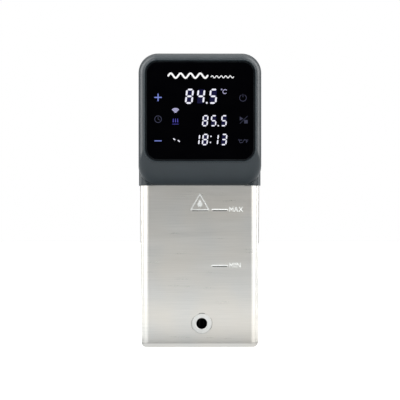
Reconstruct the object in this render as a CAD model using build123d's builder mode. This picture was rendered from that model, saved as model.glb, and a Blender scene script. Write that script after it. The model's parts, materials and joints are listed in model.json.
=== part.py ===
"""Sous vide circulator: a touch-screen head on a stainless steel immersion sleeve, with a rear screw clamp.

X runs to the right, Y to the rear and Z up. The origin is the centre of the sleeve's base, which is the face that
the circulator stands on. A console of tapering rounded rectangles carries the glass and closes the front of a rear
housing. A floor plate divides the dry head from the wet sleeve. The motor stands on the floor, and its long shaft
runs down a column to the pump at the foot of the sleeve, which blows water out of a round nozzle in the front.
Sizes are in millimetres.
"""

import os
from math import radians, tan

from build123d import *

os.makedirs("parts", exist_ok=True)

# ---------------------------------------------------------------- driving dimensions
# sleeve
sleeve_width = 125.5
sleeve_depth = 92.0
sleeve_visible_height = 170.0  # from the base to the head's lower edge
sleeve_draft = 0.4  # degrees, narrower towards the base
sleeve_corner = 9.0
sleeve_sheet = 0.8
sleeve_base_round = 5.0
sleeve_tuck = 7.2  # how far the sleeve's rim goes up into the head

# head
head_overhang = 1.25  # rear housing past the sleeve, on each side
head_height = 138.1
head_edge_round = 9.0
bezel_overhang = 0.4  # console past the rear housing, on each side
bezel_corner = 20.5
bezel_reach = 15.0  # console face ahead of the rear housing
seam_setback = 9.9  # seam of the console behind the rear housing's front face
head_wall = 2.5
seam_gap = 0.4
part_gap = 0.15  # clearance between mouldings that sit side by side

# glass and the lip round it
glass_width = 114.0
glass_height = 104.1
glass_corner = 12.5
glass_thickness = 3.0
glass_gap = 0.3  # all round
glass_sink = 0.25  # glass face behind the lip's crest
glass_glue = 0.3
lip_width = 1.4
lip_height = 1.0
lip_round = 0.6
glass_top_margin = 8.5  # console top edge down to the glass
ledge_width = 8.0  # shelf behind the glass, inward from the pocket's edge

# rear clamp
clamp_gap = 22.0  # between the wall pad and the open clamp foot
clamp_travel = 20.0
clamp_height = 140.0  # screw axis above the base
clamp_width = 44.0
clamp_leg = 8.0
clamp_arm = 10.0
clamp_plate_height = 38.0
clamp_screw_radius = 4.0
clamp_nut_radius = 7.0
clamp_foot_radius = 13.0
clamp_foot_thickness = 3.7
clamp_foot_rubber = 2.0
knob_radius = 19.0
knob_thickness = 16.0
knob_lobes = 7
wall_pad_thickness = 2.0

# pump, shaft and motor
shaft_radius = 3.0
running_gap = 0.05
impeller_radius = 19.0
impeller_blades = 6
volute_radius = 24.0
volute_wall = 2.0
outlet_offset = 2.0  # outlet axis to the right of the shaft
outlet_height = 25.0
outlet_bore = 5.8
outlet_face_radius = 10.4
outlet_seat_gap = 0.2
column_radius = 11.0
column_wall = 2.0
motor_radius = 25.0
motor_height = 46.0
motor_wall = 1.5
fan_radius = 27.0
fan_blades = 7
floor_thickness = 4.0

# heaters and probes
heater_radius = 4.0
heater_bend = 13.0
probe_radius = 3.0
level_probe_radius = 2.0
minimum_level = 86.0

# mains inlet, a standard three-pin appliance inlet
inlet_socket_width = 24.5
inlet_socket_height = 17.0
inlet_socket_depth = 15.5
inlet_wall = 1.6
inlet_flange_width = 50.0
inlet_flange_height = 24.0
inlet_flange = 2.0
inlet_screw_spacing = 40.0
inlet_below_top = 27.0

# fasteners
small_screw = 1.5  # shank radius
small_head = 2.8
rod_radius = 3.0

# ---------------------------------------------------------------- derived places
head_floor_z = sleeve_visible_height
housing_width = sleeve_width + 2 * head_overhang
housing_depth = sleeve_depth + 2 * head_overhang
housing_front = -housing_depth / 2
housing_back = housing_depth / 2
bezel_width = housing_width + 2 * bezel_overhang
bezel_height = head_height + bezel_overhang
bezel_top = head_floor_z + bezel_height
housing_top = bezel_top - bezel_overhang
face_y = housing_front - bezel_reach  # crest of the lip
band_y = face_y + lip_height  # front edge of the tapering band
seam_y = housing_front + seam_setback
sleeve_front = -sleeve_depth / 2
sleeve_back = sleeve_depth / 2
sleeve_rim_z = head_floor_z + sleeve_tuck
step_z = sleeve_rim_z + 0.8  # step in the housing wall that the rim's gasket seats on
pocket_gap = 0.2

glass_mid_z = bezel_top - glass_top_margin - glass_height / 2
glass_front = face_y + glass_sink
glass_back = glass_front + glass_thickness
ledge_front = glass_back + glass_glue
ledge_back = ledge_front + 2.5
window_width = glass_width + 2 * glass_gap
window_height = glass_height + 2 * glass_gap
lip_width_total = window_width + 2 * lip_width
lip_height_total = window_height + 2 * lip_width
lip_corner = glass_corner + glass_gap + lip_width

lip_top = glass_mid_z + lip_height_total / 2
lip_bottom = glass_mid_z - lip_height_total / 2
side_band = (bezel_width - lip_width_total) / 2
top_band = bezel_top - lip_top
chin_rise = lip_bottom - head_floor_z
taper_start = sleeve_front - pocket_gap  # the console is a plain prism behind here

# The console's taper runs from the prism to the lip as powers of the share of its depth: the sides and the top
# turn in late, and the chin rises sooner.
console_sections = 6
band_power = 3.0
chin_power = 2.0

foot_open_y = sleeve_back + wall_pad_thickness + clamp_gap
foot_plate_y = foot_open_y + clamp_foot_rubber
leg_front = foot_plate_y + clamp_foot_thickness + 0.3
leg_back = leg_front + clamp_leg
nut_back = leg_back + 4.0
knob_front = nut_back + clamp_travel + 1.5
arm_bottom = head_floor_z + 4.0
arm_top = arm_bottom + clamp_arm

floor_bottom = step_z
floor_top = step_z + floor_thickness
motor_base_z = floor_top + 4.0
motor_top_z = motor_base_z + motor_height
inlet_z = housing_top - inlet_below_top


def facing_front(y):
    """The plane that looks out of the front at depth y: its own axes are X and Z."""
    return Plane.XZ.offset(-y)


def sleeve_face(z):
    """Depth of the sleeve's front or back face from its axis at height z, allowing for the draft."""
    return sleeve_depth / 2 - (sleeve_rim_z - z) * tan(radians(sleeve_draft))


def sleeve_side(z):
    """Distance of the sleeve's side face from its axis at height z."""
    return sleeve_width / 2 - (sleeve_rim_z - z) * tan(radians(sleeve_draft))


def sleeve_form(inset):
    """The sleeve's drafted and rounded shape, drawn in by inset on every face but the rim."""
    base = 0 if inset == 0 else inset
    with BuildPart() as form:
        with BuildSketch(Plane.XY.offset(sleeve_rim_z)):
            RectangleRounded(sleeve_width - 2 * inset, sleeve_depth - 2 * inset, sleeve_corner - inset)
        extrude(amount=-(sleeve_rim_z - base), taper=sleeve_draft)
        fillet(form.faces().sort_by(Axis.Z)[0].edges(), sleeve_base_round - inset)
    return form.part


def console_form(inset, depth_shift, front_y):
    """The console's solid shape, drawn in by inset, moved back by depth_shift and cut off at front_y."""
    with BuildPart() as form:
        with BuildSketch(facing_front(seam_y)):
            with Locations((0, head_floor_z + bezel_height / 2)):
                RectangleRounded(bezel_width - 2 * inset, bezel_height - 2 * inset, bezel_corner - inset)
        extrude(amount=seam_y - taper_start - depth_shift)
        for section in range(console_sections):
            depth = section / (console_sections - 1)
            band, chin = depth**band_power, depth**chin_power
            width = bezel_width - 2 * (side_band * band + inset)
            top = bezel_top - top_band * band - inset
            bottom = head_floor_z + chin_rise * chin + inset
            corner = bezel_corner + (lip_corner - bezel_corner) * band - inset
            with BuildSketch(facing_front(taper_start + depth_shift + (band_y - taper_start) * depth)):
                with Locations((0, (top + bottom) / 2)):
                    RectangleRounded(width, top - bottom, corner)
        loft()
        split(bisect_by=facing_front(front_y), keep=Keep.BOTTOM)
    return form.part


def housing_form(inset):
    """The rear housing's solid shape, drawn in by inset on every face but the open bottom."""
    width = housing_width - 2 * inset
    top = housing_top - inset
    with BuildPart() as form:
        with BuildSketch(facing_front(housing_front + inset)) as outline:
            with Locations((0, (head_floor_z + top) / 2)):
                Rectangle(width, top - head_floor_z)
            fillet(outline.vertices().group_by(Axis.Y)[-1], bezel_corner - bezel_overhang - inset)
        extrude(amount=-(housing_depth - 2 * inset))
        rims = form.faces().filter_by(Axis.Y).edges().filter_by_position(
            Axis.Z, head_floor_z + 0.01, housing_top + 1
        )
        fillet(rims, head_edge_round - inset)
    return form.part


def save(piece, name):
    """Labels a finished piece and writes it to its own file."""
    piece.label = name
    export_step(piece, f"parts/{name}.step")


# ---------------------------------------------------------------- shared cutting shapes
with BuildPart() as sleeve_pocket:
    with BuildSketch(Plane.XY.offset(head_floor_z - 1)):
        RectangleRounded(
            sleeve_width + 2 * pocket_gap, sleeve_depth + 2 * pocket_gap, sleeve_corner + pocket_gap
        )
    extrude(amount=step_z - head_floor_z + 1)

with BuildPart() as console_envelope:
    with BuildSketch(facing_front(seam_y + seam_gap)):
        with Locations((0, head_floor_z + bezel_height / 2)):
            RectangleRounded(
                bezel_width + 2 * part_gap, bezel_height + 2 * part_gap, bezel_corner + part_gap
            )
    extrude(amount=60)

# ---------------------------------------------------------------- tie rod and screw places
lower_rod_x = housing_width / 2 - head_edge_round - small_head - 0.5
lower_rod_z = floor_top + 12.0
upper_rod_x = bezel_width / 2 - bezel_corner - 0.5
upper_rod_z = housing_top - head_edge_round - small_head - 0.6
rod_places = [
    (-lower_rod_x, lower_rod_z),
    (lower_rod_x, lower_rod_z),
    (-upper_rod_x, upper_rod_z),
    (upper_rod_x, upper_rod_z),
]
rod_boss_radius = 4.5
rod_boss_front = taper_start - 6.0
rod_front = seam_y - 3.0

floor_boss_x = housing_width / 2 - head_wall - small_screw - 2.7
floor_boss_ys = (seam_y + 10.0, housing_back - head_wall - 9.0)
floor_boss_places = [(side * floor_boss_x, y) for side in (-1, 1) for y in floor_boss_ys]

bracket_screw_places = [(x, z) for x in (-15, 15) for z in (arm_top + 8, arm_top + 22)]

# ================================================================= HEAD
# Front console: a tapering shell with a lip, a pocket for the glass and a shelf behind it.
with BuildPart() as front_bezel:
    add(console_form(0, 0, band_y))
    with BuildSketch(facing_front(band_y)):
        with Locations((0, glass_mid_z)):
            RectangleRounded(lip_width_total, lip_height_total, lip_corner)
    extrude(amount=lip_height)
    fillet(front_bezel.faces().sort_by(Axis.Y)[0].outer_wire().edges(), lip_round)
    add(console_form(head_wall, head_wall * 0.6, ledge_back), mode=Mode.SUBTRACT)
    with BuildSketch(facing_front(ledge_front)):
        with Locations((0, glass_mid_z)):
            RectangleRounded(window_width, window_height, glass_corner + glass_gap)
    extrude(amount=ledge_front - face_y + 1, mode=Mode.SUBTRACT)
    with BuildSketch(facing_front(ledge_back + 1)):
        with Locations((0, glass_mid_z)):
            RectangleRounded(window_width - 2 * ledge_width, window_height - 2 * ledge_width, 5)
    extrude(amount=ledge_back - ledge_front + 2, mode=Mode.SUBTRACT)
    with BuildSketch(facing_front(taper_start)):
        with Locations((0, head_floor_z + head_wall / 2 + 5)):
            Rectangle(bezel_width - 2 * bezel_corner + 10, 10)
    extrude(amount=head_wall)
    with BuildSketch(facing_front(rod_front)):
        with Locations(*rod_places):
            Circle(rod_boss_radius)
        for side in (-1, 1):
            with Locations((side * (lower_rod_x + bezel_width / 2 - 2.2) / 2, lower_rod_z)):
                Rectangle(bezel_width / 2 - 2.2 - lower_rod_x, 5)
            with Locations((side * upper_rod_x, (upper_rod_z + bezel_top - 2.2) / 2)):
                Rectangle(5, bezel_top - 2.2 - upper_rod_z)
    extrude(amount=rod_front - rod_boss_front)
    add(sleeve_pocket.part, mode=Mode.SUBTRACT)
    with BuildSketch(facing_front(rod_front)):
        with Locations(*rod_places):
            Circle(small_screw)
    extrude(amount=rod_front - rod_boss_front - 2, mode=Mode.SUBTRACT)
save(front_bezel.part, "front_bezel")

# Black touch glass.
with BuildPart() as display_glass:
    with BuildSketch(facing_front(glass_back)):
        with Locations((0, glass_mid_z)):
            RectangleRounded(glass_width, glass_height, glass_corner)
    extrude(amount=glass_thickness)
    chamfer(display_glass.faces().sort_by(Axis.Y)[0].edges(), 0.3)
save(display_glass.part, "display_glass")

# Glue frame that holds the glass on the shelf.
with BuildPart() as glass_glue_frame:
    with BuildSketch(facing_front(ledge_front)):
        with Locations((0, glass_mid_z)):
            RectangleRounded(glass_width - 2, glass_height - 2, glass_corner - 1)
            RectangleRounded(
                glass_width - ledge_width - 4, glass_height - ledge_width - 4, 8, mode=Mode.SUBTRACT
            )
    extrude(amount=glass_glue)
save(glass_glue_frame.part, "glass_glue_frame")

# Rear housing: closed back, sides and top, open at the bottom and at the front seam.
vent_count = 8
vent_pitch = 5.4
vent_first_z = arm_top + clamp_plate_height + 2.0
vent_width = 70.0
vent_slot = 2.6
with BuildPart() as rear_housing:
    add(housing_form(0))
    add(housing_form(head_wall), mode=Mode.SUBTRACT)
    add(console_envelope.part, mode=Mode.SUBTRACT)
    with BuildSketch(Plane.XY.offset(floor_top)):
        with Locations(*floor_boss_places):
            Circle(small_screw + 3.0)
    extrude(amount=7)
    with BuildSketch(Plane.XY.offset(floor_top)):
        with Locations(*floor_boss_places):
            Circle(small_screw)
    extrude(amount=6, mode=Mode.SUBTRACT)
    add(sleeve_pocket.part, mode=Mode.SUBTRACT)
    with BuildSketch(facing_front(housing_back + 1)):
        with Locations((0, vent_first_z + vent_pitch * (vent_count - 1) / 2)):
            with GridLocations(1, vent_pitch, 1, vent_count):
                SlotOverall(vent_width, vent_slot)
        with Locations((0, inlet_z)):
            Rectangle(
                inlet_socket_width + 2 * inlet_wall + 2 * part_gap,
                inlet_socket_height + 2 * inlet_wall + 2 * part_gap,
            )
        with Locations(*[(x, inlet_z) for x in (-inlet_screw_spacing / 2, inlet_screw_spacing / 2)]):
            Circle(small_screw)
        with Locations(*rod_places):
            Circle(small_screw + 0.2)
        with Locations(*bracket_screw_places):
            Circle(small_screw + 0.2)
    extrude(amount=head_wall + 2, mode=Mode.SUBTRACT)
save(rear_housing.part, "rear_housing")

# Rubber seal in the seam between the console and the rear housing.
with BuildPart() as seam_seal:
    with BuildSketch(facing_front(seam_y + seam_gap)):
        with Locations((0, head_floor_z + bezel_height / 2)):
            RectangleRounded(housing_width - 1.2, bezel_height - 2.6, bezel_corner - 1.3)
            RectangleRounded(
                housing_width - 2 * head_wall + 0.6, bezel_height - 2 * head_wall, bezel_corner - 3,
                mode=Mode.SUBTRACT,
            )
    extrude(amount=seam_gap)
    add(sleeve_pocket.part, mode=Mode.SUBTRACT)
    add(rear_housing.part, mode=Mode.SUBTRACT)
save(seam_seal.part, "seam_seal")

# Tie rods that draw the console against the rear housing, and their screws in the back.
with BuildPart() as tie_rods:
    with BuildSketch(facing_front(housing_back - head_wall)):
        with Locations(*rod_places):
            RegularPolygon(rod_radius, 6)
    extrude(amount=housing_back - head_wall - rod_front)
    with BuildSketch(facing_front(rod_front)):
        with Locations(*rod_places):
            Circle(small_screw)
    extrude(amount=6)
    with BuildSketch(facing_front(housing_back - head_wall)):
        with Locations(*rod_places):
            Circle(small_screw)
    extrude(amount=8, mode=Mode.SUBTRACT)
save(tie_rods.part, "tie_rods")

with BuildPart() as rear_screws:
    with BuildSketch(facing_front(housing_back)):
        with Locations(*rod_places):
            Circle(small_head)
    extrude(amount=-1.8)
    fillet(rear_screws.faces().sort_by(Axis.Y)[-4:].edges(), 0.9)
    with BuildSketch(facing_front(housing_back)):
        with Locations(*rod_places):
            Circle(small_screw)
    extrude(amount=head_wall + 7)
    with BuildSketch(facing_front(housing_back + 1.8)):
        with Locations(*rod_places):
            RegularPolygon(1.2, 6)
    extrude(amount=1.1, mode=Mode.SUBTRACT)
save(rear_screws.part, "rear_screws")

# Floor plate between the head and the sleeve. Its lugs hang down inside the sleeve.
# The rear ones take the screws.
floor_side = housing_width / 2 - head_wall - 0.2
floor_back = housing_back - head_wall - 0.2
floor_front = taper_start + 1.6
floor_nose_width = 2 * (bezel_width / 2 - bezel_corner + 12.4)
lug_drop = 24.0
lug_z = floor_bottom - 16.0
lug_depth = 5.0
lug_width = 10.0
rear_lug_xs = (-35.0, 35.0)
side_lug_x = sleeve_width / 2 - sleeve_sheet - 0.6 - lug_depth / 2
side_lug_y = 0.0
heater_legs = [(-34.0, 20.0), (34.0, 20.0)]
inner_heater_legs = [(-22.0, 20.0), (22.0, 20.0)]
probe_place = (0.0, 33.0)
level_probe_places = [(-12.0, 34.0), (12.0, 34.0)]
with BuildPart() as head_floor:
    with BuildSketch(Plane.XY.offset(floor_bottom)):
        with Locations((0, (floor_back + seam_y + 1) / 2)):
            Rectangle(2 * floor_side, floor_back - seam_y - 1)
        with Locations((0, (floor_front + seam_y + 1) / 2)):
            Rectangle(floor_nose_width, seam_y + 1 - floor_front)
    extrude(amount=floor_thickness)
    fillet(
        head_floor.edges().filter_by(Axis.Z).group_by(Axis.Y)[-1], head_edge_round - head_wall - 0.2
    )
    with BuildSketch(Plane.XY.offset(floor_bottom)):
        with Locations(*[(x, sleeve_back - sleeve_sheet - 0.6 - lug_depth / 2) for x in rear_lug_xs]):
            Rectangle(lug_width, lug_depth)
        with Locations(*[(side * side_lug_x, side_lug_y) for side in (-1, 1)]):
            Rectangle(lug_depth, lug_width)
    extrude(amount=-lug_drop)
    with BuildSketch(Plane.XZ.offset(-sleeve_back)):
        with Locations(*[(x, lug_z) for x in rear_lug_xs]):
            Circle(small_screw)
    extrude(amount=lug_depth + 5, mode=Mode.SUBTRACT)
    with BuildSketch(Plane.XY.offset(floor_bottom)):
        Circle(column_radius - column_wall)
        with Locations(*heater_legs, *inner_heater_legs):
            Circle(heater_radius)
        with Locations(probe_place):
            Circle(probe_radius)
        with Locations(*level_probe_places):
            Circle(level_probe_radius)
        with Locations(*floor_boss_places):
            Circle(small_screw + 0.2)
    extrude(amount=floor_thickness, mode=Mode.SUBTRACT)
save(head_floor.part, "head_floor")

with BuildPart() as floor_screws:
    with BuildSketch(Plane.XY.offset(floor_bottom)):
        with Locations(*floor_boss_places):
            Circle(small_head)
    extrude(amount=-1.8)
    with BuildSketch(Plane.XY.offset(floor_bottom)):
        with Locations(*floor_boss_places):
            Circle(small_screw)
    extrude(amount=floor_thickness + 5)
save(floor_screws.part, "floor_screws")

# Rubber loop that the sleeve's rim seats against.
with BuildPart() as sleeve_gasket:
    with BuildSketch(Plane.XY.offset(sleeve_rim_z)):
        RectangleRounded(sleeve_width, sleeve_depth, sleeve_corner)
        RectangleRounded(
            sleeve_width - 2.4, sleeve_depth - 2.4, sleeve_corner - 1.2, mode=Mode.SUBTRACT
        )
    extrude(amount=step_z - sleeve_rim_z)
save(sleeve_gasket.part, "sleeve_gasket")

# ================================================================= DISPLAY AND ELECTRONICS
carrier_thickness = 2.0
carrier_back = ledge_back + carrier_thickness
board_thickness = 1.6
key_columns = (13.4 - glass_width / 2, glass_width / 2 - 11.5)
key_rows = (glass_mid_z + 14.2, glass_mid_z - 9.0, glass_mid_z - 31.4)
with BuildPart() as display_carrier:
    with BuildSketch(facing_front(carrier_back)):
        with Locations((0, glass_mid_z)):
            RectangleRounded(glass_width - 4, glass_height - 7, 6)
            RectangleRounded(glass_width - 15, glass_height - 25, 3, mode=Mode.SUBTRACT)
    extrude(amount=carrier_thickness)
    with BuildSketch(facing_front(carrier_back)):
        with Locations((0, glass_mid_z)):
            with GridLocations(glass_width - 9, glass_height - 15, 2, 2):
                Circle(small_screw)
    extrude(amount=carrier_thickness, mode=Mode.SUBTRACT)
save(display_carrier.part, "display_carrier")

with BuildPart() as carrier_screws:
    with BuildSketch(facing_front(carrier_back)):
        with Locations((0, glass_mid_z)):
            with GridLocations(glass_width - 9, glass_height - 15, 2, 2):
                Circle(2.4)
    extrude(amount=-1.2)
    with BuildSketch(facing_front(carrier_back)):
        with Locations((0, glass_mid_z)):
            with GridLocations(glass_width - 9, glass_height - 15, 2, 2):
                Circle(small_screw)
    extrude(amount=carrier_thickness)
save(carrier_screws.part, "carrier_screws")

with BuildPart() as display_board:
    with BuildSketch(facing_front(carrier_back + board_thickness)):
        with Locations((0, glass_mid_z)):
            RectangleRounded(glass_width - 14, glass_height - 22, 2)
    extrude(amount=board_thickness)
save(display_board.part, "display_board")

with BuildPart() as digit_display:
    with BuildSketch(facing_front(carrier_back)):
        with Locations((2, glass_mid_z - 6)):
            RectangleRounded(62, 64, 1)
    extrude(amount=carrier_back - glass_back - 0.2)
save(digit_display.part, "digit_display")

with BuildPart() as touch_posts:
    with BuildSketch(facing_front(carrier_back)):
        with Locations(*[(x, z) for x in key_columns for z in key_rows]):
            Circle(3.4)
            Circle(2.0, mode=Mode.SUBTRACT)
    extrude(amount=carrier_back - glass_back)
save(touch_posts.part, "touch_posts")

power_board_back = seam_y + 7.0
power_board_front = power_board_back - board_thickness
power_board_low = floor_top + 4.0
power_board_high = power_board_low + 100.0
board_width = 2 * (lower_rod_x - rod_radius - 5.0)
standoff_places = [
    (side * (board_width / 2 - 5), z) for side in (-1, 1) for z in (glass_mid_z - 38, glass_mid_z + 38)
]
with BuildPart() as power_board:
    with BuildSketch(facing_front(power_board_back)):
        with Locations((0, (power_board_low + power_board_high) / 2)):
            RectangleRounded(board_width, power_board_high - power_board_low, 2)
    extrude(amount=board_thickness)
save(power_board.part, "power_board")

with BuildPart() as board_standoffs:
    with BuildSketch(facing_front(power_board_front)):
        with Locations(*standoff_places):
            RegularPolygon(2.8, 6)
    extrude(amount=power_board_front - carrier_back - board_thickness)
save(board_standoffs.part, "board_standoffs")

with BuildPart() as relays:
    with BuildSketch(facing_front(power_board_front)):
        with Locations((-25, power_board_low + 22), (-25, power_board_low + 46)):
            Rectangle(19, 15.5)
    extrude(amount=11)
    fillet(relays.edges().filter_by(Axis.Y), 0.8)
save(relays.part, "relays")

with BuildPart() as capacitors:
    with BuildSketch(facing_front(power_board_front)):
        with Locations((-6, power_board_low + 18), (-6, power_board_low + 33), (-6, power_board_low + 48)):
            Circle(5)
    extrude(amount=12)
    fillet(capacitors.faces().sort_by(Axis.Y)[:3].edges(), 0.8)
save(capacitors.part, "capacitors")

with BuildPart() as transformer:
    with BuildSketch(facing_front(power_board_front)):
        with Locations((20, power_board_low + 30)):
            Rectangle(28, 24)
    extrude(amount=11)
    with BuildSketch(facing_front(power_board_front - 3)):
        with Locations((20, power_board_low + 30)):
            Rectangle(20, 32)
    extrude(amount=5)
save(transformer.part, "transformer")

with BuildPart() as heat_sink:
    with BuildSketch(facing_front(power_board_back + 3)):
        with Locations((0, power_board_high - 14)):
            Rectangle(60, 22)
    extrude(amount=3)
    with BuildSketch(facing_front(power_board_back + 3)):
        with Locations((0, power_board_high - 14)):
            with GridLocations(6.5, 1, 9, 1):
                Rectangle(1.6, 22)
    extrude(amount=-14)
save(heat_sink.part, "heat_sink")

# ---------------------------------------------------------------- mains inlet
inlet_body_width = inlet_socket_width + 2 * inlet_wall
inlet_body_height = inlet_socket_height + 2 * inlet_wall
pin_width = 2.0
pin_height = 4.0
pin_spacing = 14.0
earth_pin_rise = 4.0
outer_pin_z = inlet_z - 1.5
earth_pin_z = inlet_z + earth_pin_rise - 1.0
pin_places = [(-pin_spacing / 2, outer_pin_z), (pin_spacing / 2, outer_pin_z), (0, earth_pin_z)]
inlet_face = housing_back + inlet_flange
inlet_floor = inlet_face - inlet_socket_depth
with BuildPart() as power_inlet:
    with BuildSketch(facing_front(inlet_face)):
        with Locations((0, inlet_z)):
            RectangleRounded(inlet_flange_width, inlet_flange_height, 5)
    extrude(amount=inlet_flange)
    with BuildSketch(facing_front(housing_back)):
        with Locations((0, inlet_z)):
            Rectangle(inlet_body_width, inlet_body_height)
    extrude(amount=inlet_socket_depth - inlet_flange + 2.5)
    with BuildSketch(facing_front(inlet_face)) as socket_mouth:
        with Locations((0, inlet_z)):
            Rectangle(inlet_socket_width, inlet_socket_height)
        chamfer(socket_mouth.vertices().group_by(Axis.Y)[-1], 5)
        fillet(socket_mouth.vertices().group_by(Axis.Y)[0], 1.5)
    extrude(amount=inlet_socket_depth, mode=Mode.SUBTRACT)
    with BuildSketch(facing_front(inlet_face)):
        with Locations(*[(x, inlet_z) for x in (-inlet_screw_spacing / 2, inlet_screw_spacing / 2)]):
            Circle(small_screw + 0.2)
    extrude(amount=inlet_flange, mode=Mode.SUBTRACT)
    with BuildSketch(facing_front(inlet_floor)):
        with Locations(*pin_places):
            Rectangle(pin_width, pin_height)
    extrude(amount=4, mode=Mode.SUBTRACT)
save(power_inlet.part, "power_inlet")

with BuildPart() as inlet_pins:
    with BuildSketch(facing_front(inlet_face - 2)):
        with Locations(*pin_places):
            Rectangle(pin_width, pin_height)
    extrude(amount=inlet_socket_depth + 6)
    fillet(inlet_pins.faces().sort_by(Axis.Y)[-3:].edges(), 0.5)
save(inlet_pins.part, "inlet_pins")

with BuildPart() as inlet_screws:
    with BuildSketch(facing_front(inlet_face)):
        with Locations(*[(x, inlet_z) for x in (-inlet_screw_spacing / 2, inlet_screw_spacing / 2)]):
            Circle(small_head)
    extrude(amount=-1.6)
    fillet(inlet_screws.faces().sort_by(Axis.Y)[-2:].edges(), 0.8)
    with BuildSketch(facing_front(inlet_face)):
        with Locations(*[(x, inlet_z) for x in (-inlet_screw_spacing / 2, inlet_screw_spacing / 2)]):
            Circle(small_screw)
    extrude(amount=inlet_flange + head_wall)
    with BuildSketch(facing_front(inlet_face + 1.6)):
        with Locations(*[(x, inlet_z) for x in (-inlet_screw_spacing / 2, inlet_screw_spacing / 2)]):
            Rectangle(2.6, 0.7)
            Rectangle(0.7, 2.6)
    extrude(amount=1.0, mode=Mode.SUBTRACT)
save(inlet_screws.part, "inlet_screws")

# ================================================================= SLEEVE
# Drawn stainless can: closed base with radial inlet slots, more slots low in the back, and the outlet hole.
outlet_seat = outlet_face_radius + outlet_seat_gap
slot_count = 10
back_slot_places = [(x, z) for x in (-30, -15, 0, 15, 30) for z in (30, 62)]
with BuildPart() as immersion_sleeve:
    add(sleeve_form(0))
    add(sleeve_form(sleeve_sheet), mode=Mode.SUBTRACT)
    with BuildSketch(facing_front(sleeve_front + 8)):
        with Locations((outlet_offset, outlet_height)):
            Circle(outlet_seat)
    extrude(amount=20, mode=Mode.SUBTRACT)
    with BuildSketch(Plane.XY):
        with PolarLocations(21, slot_count):
            SlotOverall(16, 3.0)
    extrude(amount=sleeve_sheet * 2, mode=Mode.SUBTRACT)
    with BuildSketch(facing_front(sleeve_back + 2)):
        with Locations(*back_slot_places):
            SlotOverall(24, 3.0, rotation=90)
        with Locations(*[(x, lug_z) for x in rear_lug_xs]):
            Circle(small_screw + 0.2)
    extrude(amount=6, mode=Mode.SUBTRACT)
save(immersion_sleeve.part, "immersion_sleeve")

# Screws that hold the back of the sleeve to the floor's rear lugs.
with BuildPart() as sleeve_screws:
    with BuildSketch(facing_front(sleeve_back)):
        with Locations(*[(x, lug_z) for x in rear_lug_xs]):
            Circle(small_head)
    extrude(amount=-1.6)
    fillet(sleeve_screws.faces().sort_by(Axis.Y)[-2:].edges(), 0.8)
    with BuildSketch(facing_front(sleeve_back)):
        with Locations(*[(x, lug_z) for x in rear_lug_xs]):
            Circle(small_screw)
    extrude(amount=5)
    with BuildSketch(facing_front(sleeve_back + 1.6)):
        with Locations(*[(x, lug_z) for x in rear_lug_xs]):
            RegularPolygon(1.2, 6)
    extrude(amount=1.0, mode=Mode.SUBTRACT)
save(sleeve_screws.part, "sleeve_screws")

# Outlet nozzle: a steel eyelet seated flush in the front wall, held by a flange behind the sheet.
nozzle_front = -sleeve_face(outlet_height) - 0.2
nozzle_flange_y = -sleeve_face(outlet_height - outlet_seat) + sleeve_sheet + 0.3
nozzle_back = nozzle_flange_y + 6.0
with BuildPart() as outlet_nozzle:
    with BuildSketch(facing_front(nozzle_flange_y)):
        with Locations((outlet_offset, outlet_height)):
            Circle(outlet_face_radius)
    extrude(amount=nozzle_flange_y - nozzle_front)
    chamfer(outlet_nozzle.faces().sort_by(Axis.Y)[0].edges(), 0.3)
    with BuildSketch(facing_front(nozzle_flange_y + 1.2)):
        with Locations((outlet_offset, outlet_height)):
            Circle(outlet_face_radius + 2.5)
    extrude(amount=1.2)
    with BuildSketch(facing_front(nozzle_back)):
        with Locations((outlet_offset, outlet_height)):
            Circle(outlet_bore + 2.0)
    extrude(amount=nozzle_back - nozzle_flange_y)
    with BuildSketch(facing_front(nozzle_back)):
        with Locations((outlet_offset, outlet_height)):
            Circle(outlet_bore)
    extrude(amount=nozzle_back - nozzle_front, mode=Mode.SUBTRACT)
    fillet(outlet_nozzle.faces().sort_by(Axis.Y)[0].inner_wires()[0].edges(), 0.4)
save(outlet_nozzle.part, "outlet_nozzle")

# ================================================================= PUMP
volute_low = 12.0
volute_high = 42.0
bush_length = 10.0
bush_radius = 5.0
with BuildPart() as pump_housing:
    with BuildSketch(Plane.XY.offset(volute_low)):
        Circle(volute_radius)
    extrude(amount=volute_high - volute_low)
    with BuildSketch(Plane.XY.offset(volute_high)):
        Circle(column_radius - column_wall - 0.1)
    extrude(amount=bush_length + 2)
    with BuildSketch(facing_front(nozzle_back)):
        with Locations((outlet_offset, outlet_height)):
            Circle(outlet_bore + 2.6)
    extrude(amount=nozzle_back)
    with BuildSketch(Plane.XY.offset(volute_low)):
        Circle(volute_radius - volute_wall)
    extrude(amount=volute_high - volute_low - volute_wall, mode=Mode.SUBTRACT)
    with BuildSketch(facing_front(nozzle_back)):
        with Locations((outlet_offset, outlet_height)):
            Circle(outlet_bore + 0.7)
    extrude(amount=nozzle_back + volute_radius - 6, mode=Mode.SUBTRACT)
    with BuildSketch(Plane.XY.offset(volute_high - volute_wall)):
        Circle(shaft_radius + 1.0)
    extrude(amount=volute_wall + 2, mode=Mode.SUBTRACT)
    with BuildSketch(Plane.XY.offset(volute_high + 2)):
        Circle(bush_radius)
    extrude(amount=bush_length, mode=Mode.SUBTRACT)
save(pump_housing.part, "pump_housing")

with BuildPart() as pump_cover:
    with BuildSketch(Plane.XY.offset(volute_low)):
        Circle(volute_radius)
        Circle(impeller_radius * 0.55, mode=Mode.SUBTRACT)
    extrude(amount=-3)
    with BuildSketch(Plane.XY.offset(volute_low)):
        Circle(volute_radius - volute_wall - 0.1)
        Circle(volute_radius - volute_wall - 2.0, mode=Mode.SUBTRACT)
    extrude(amount=2)
save(pump_cover.part, "pump_cover")

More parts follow.
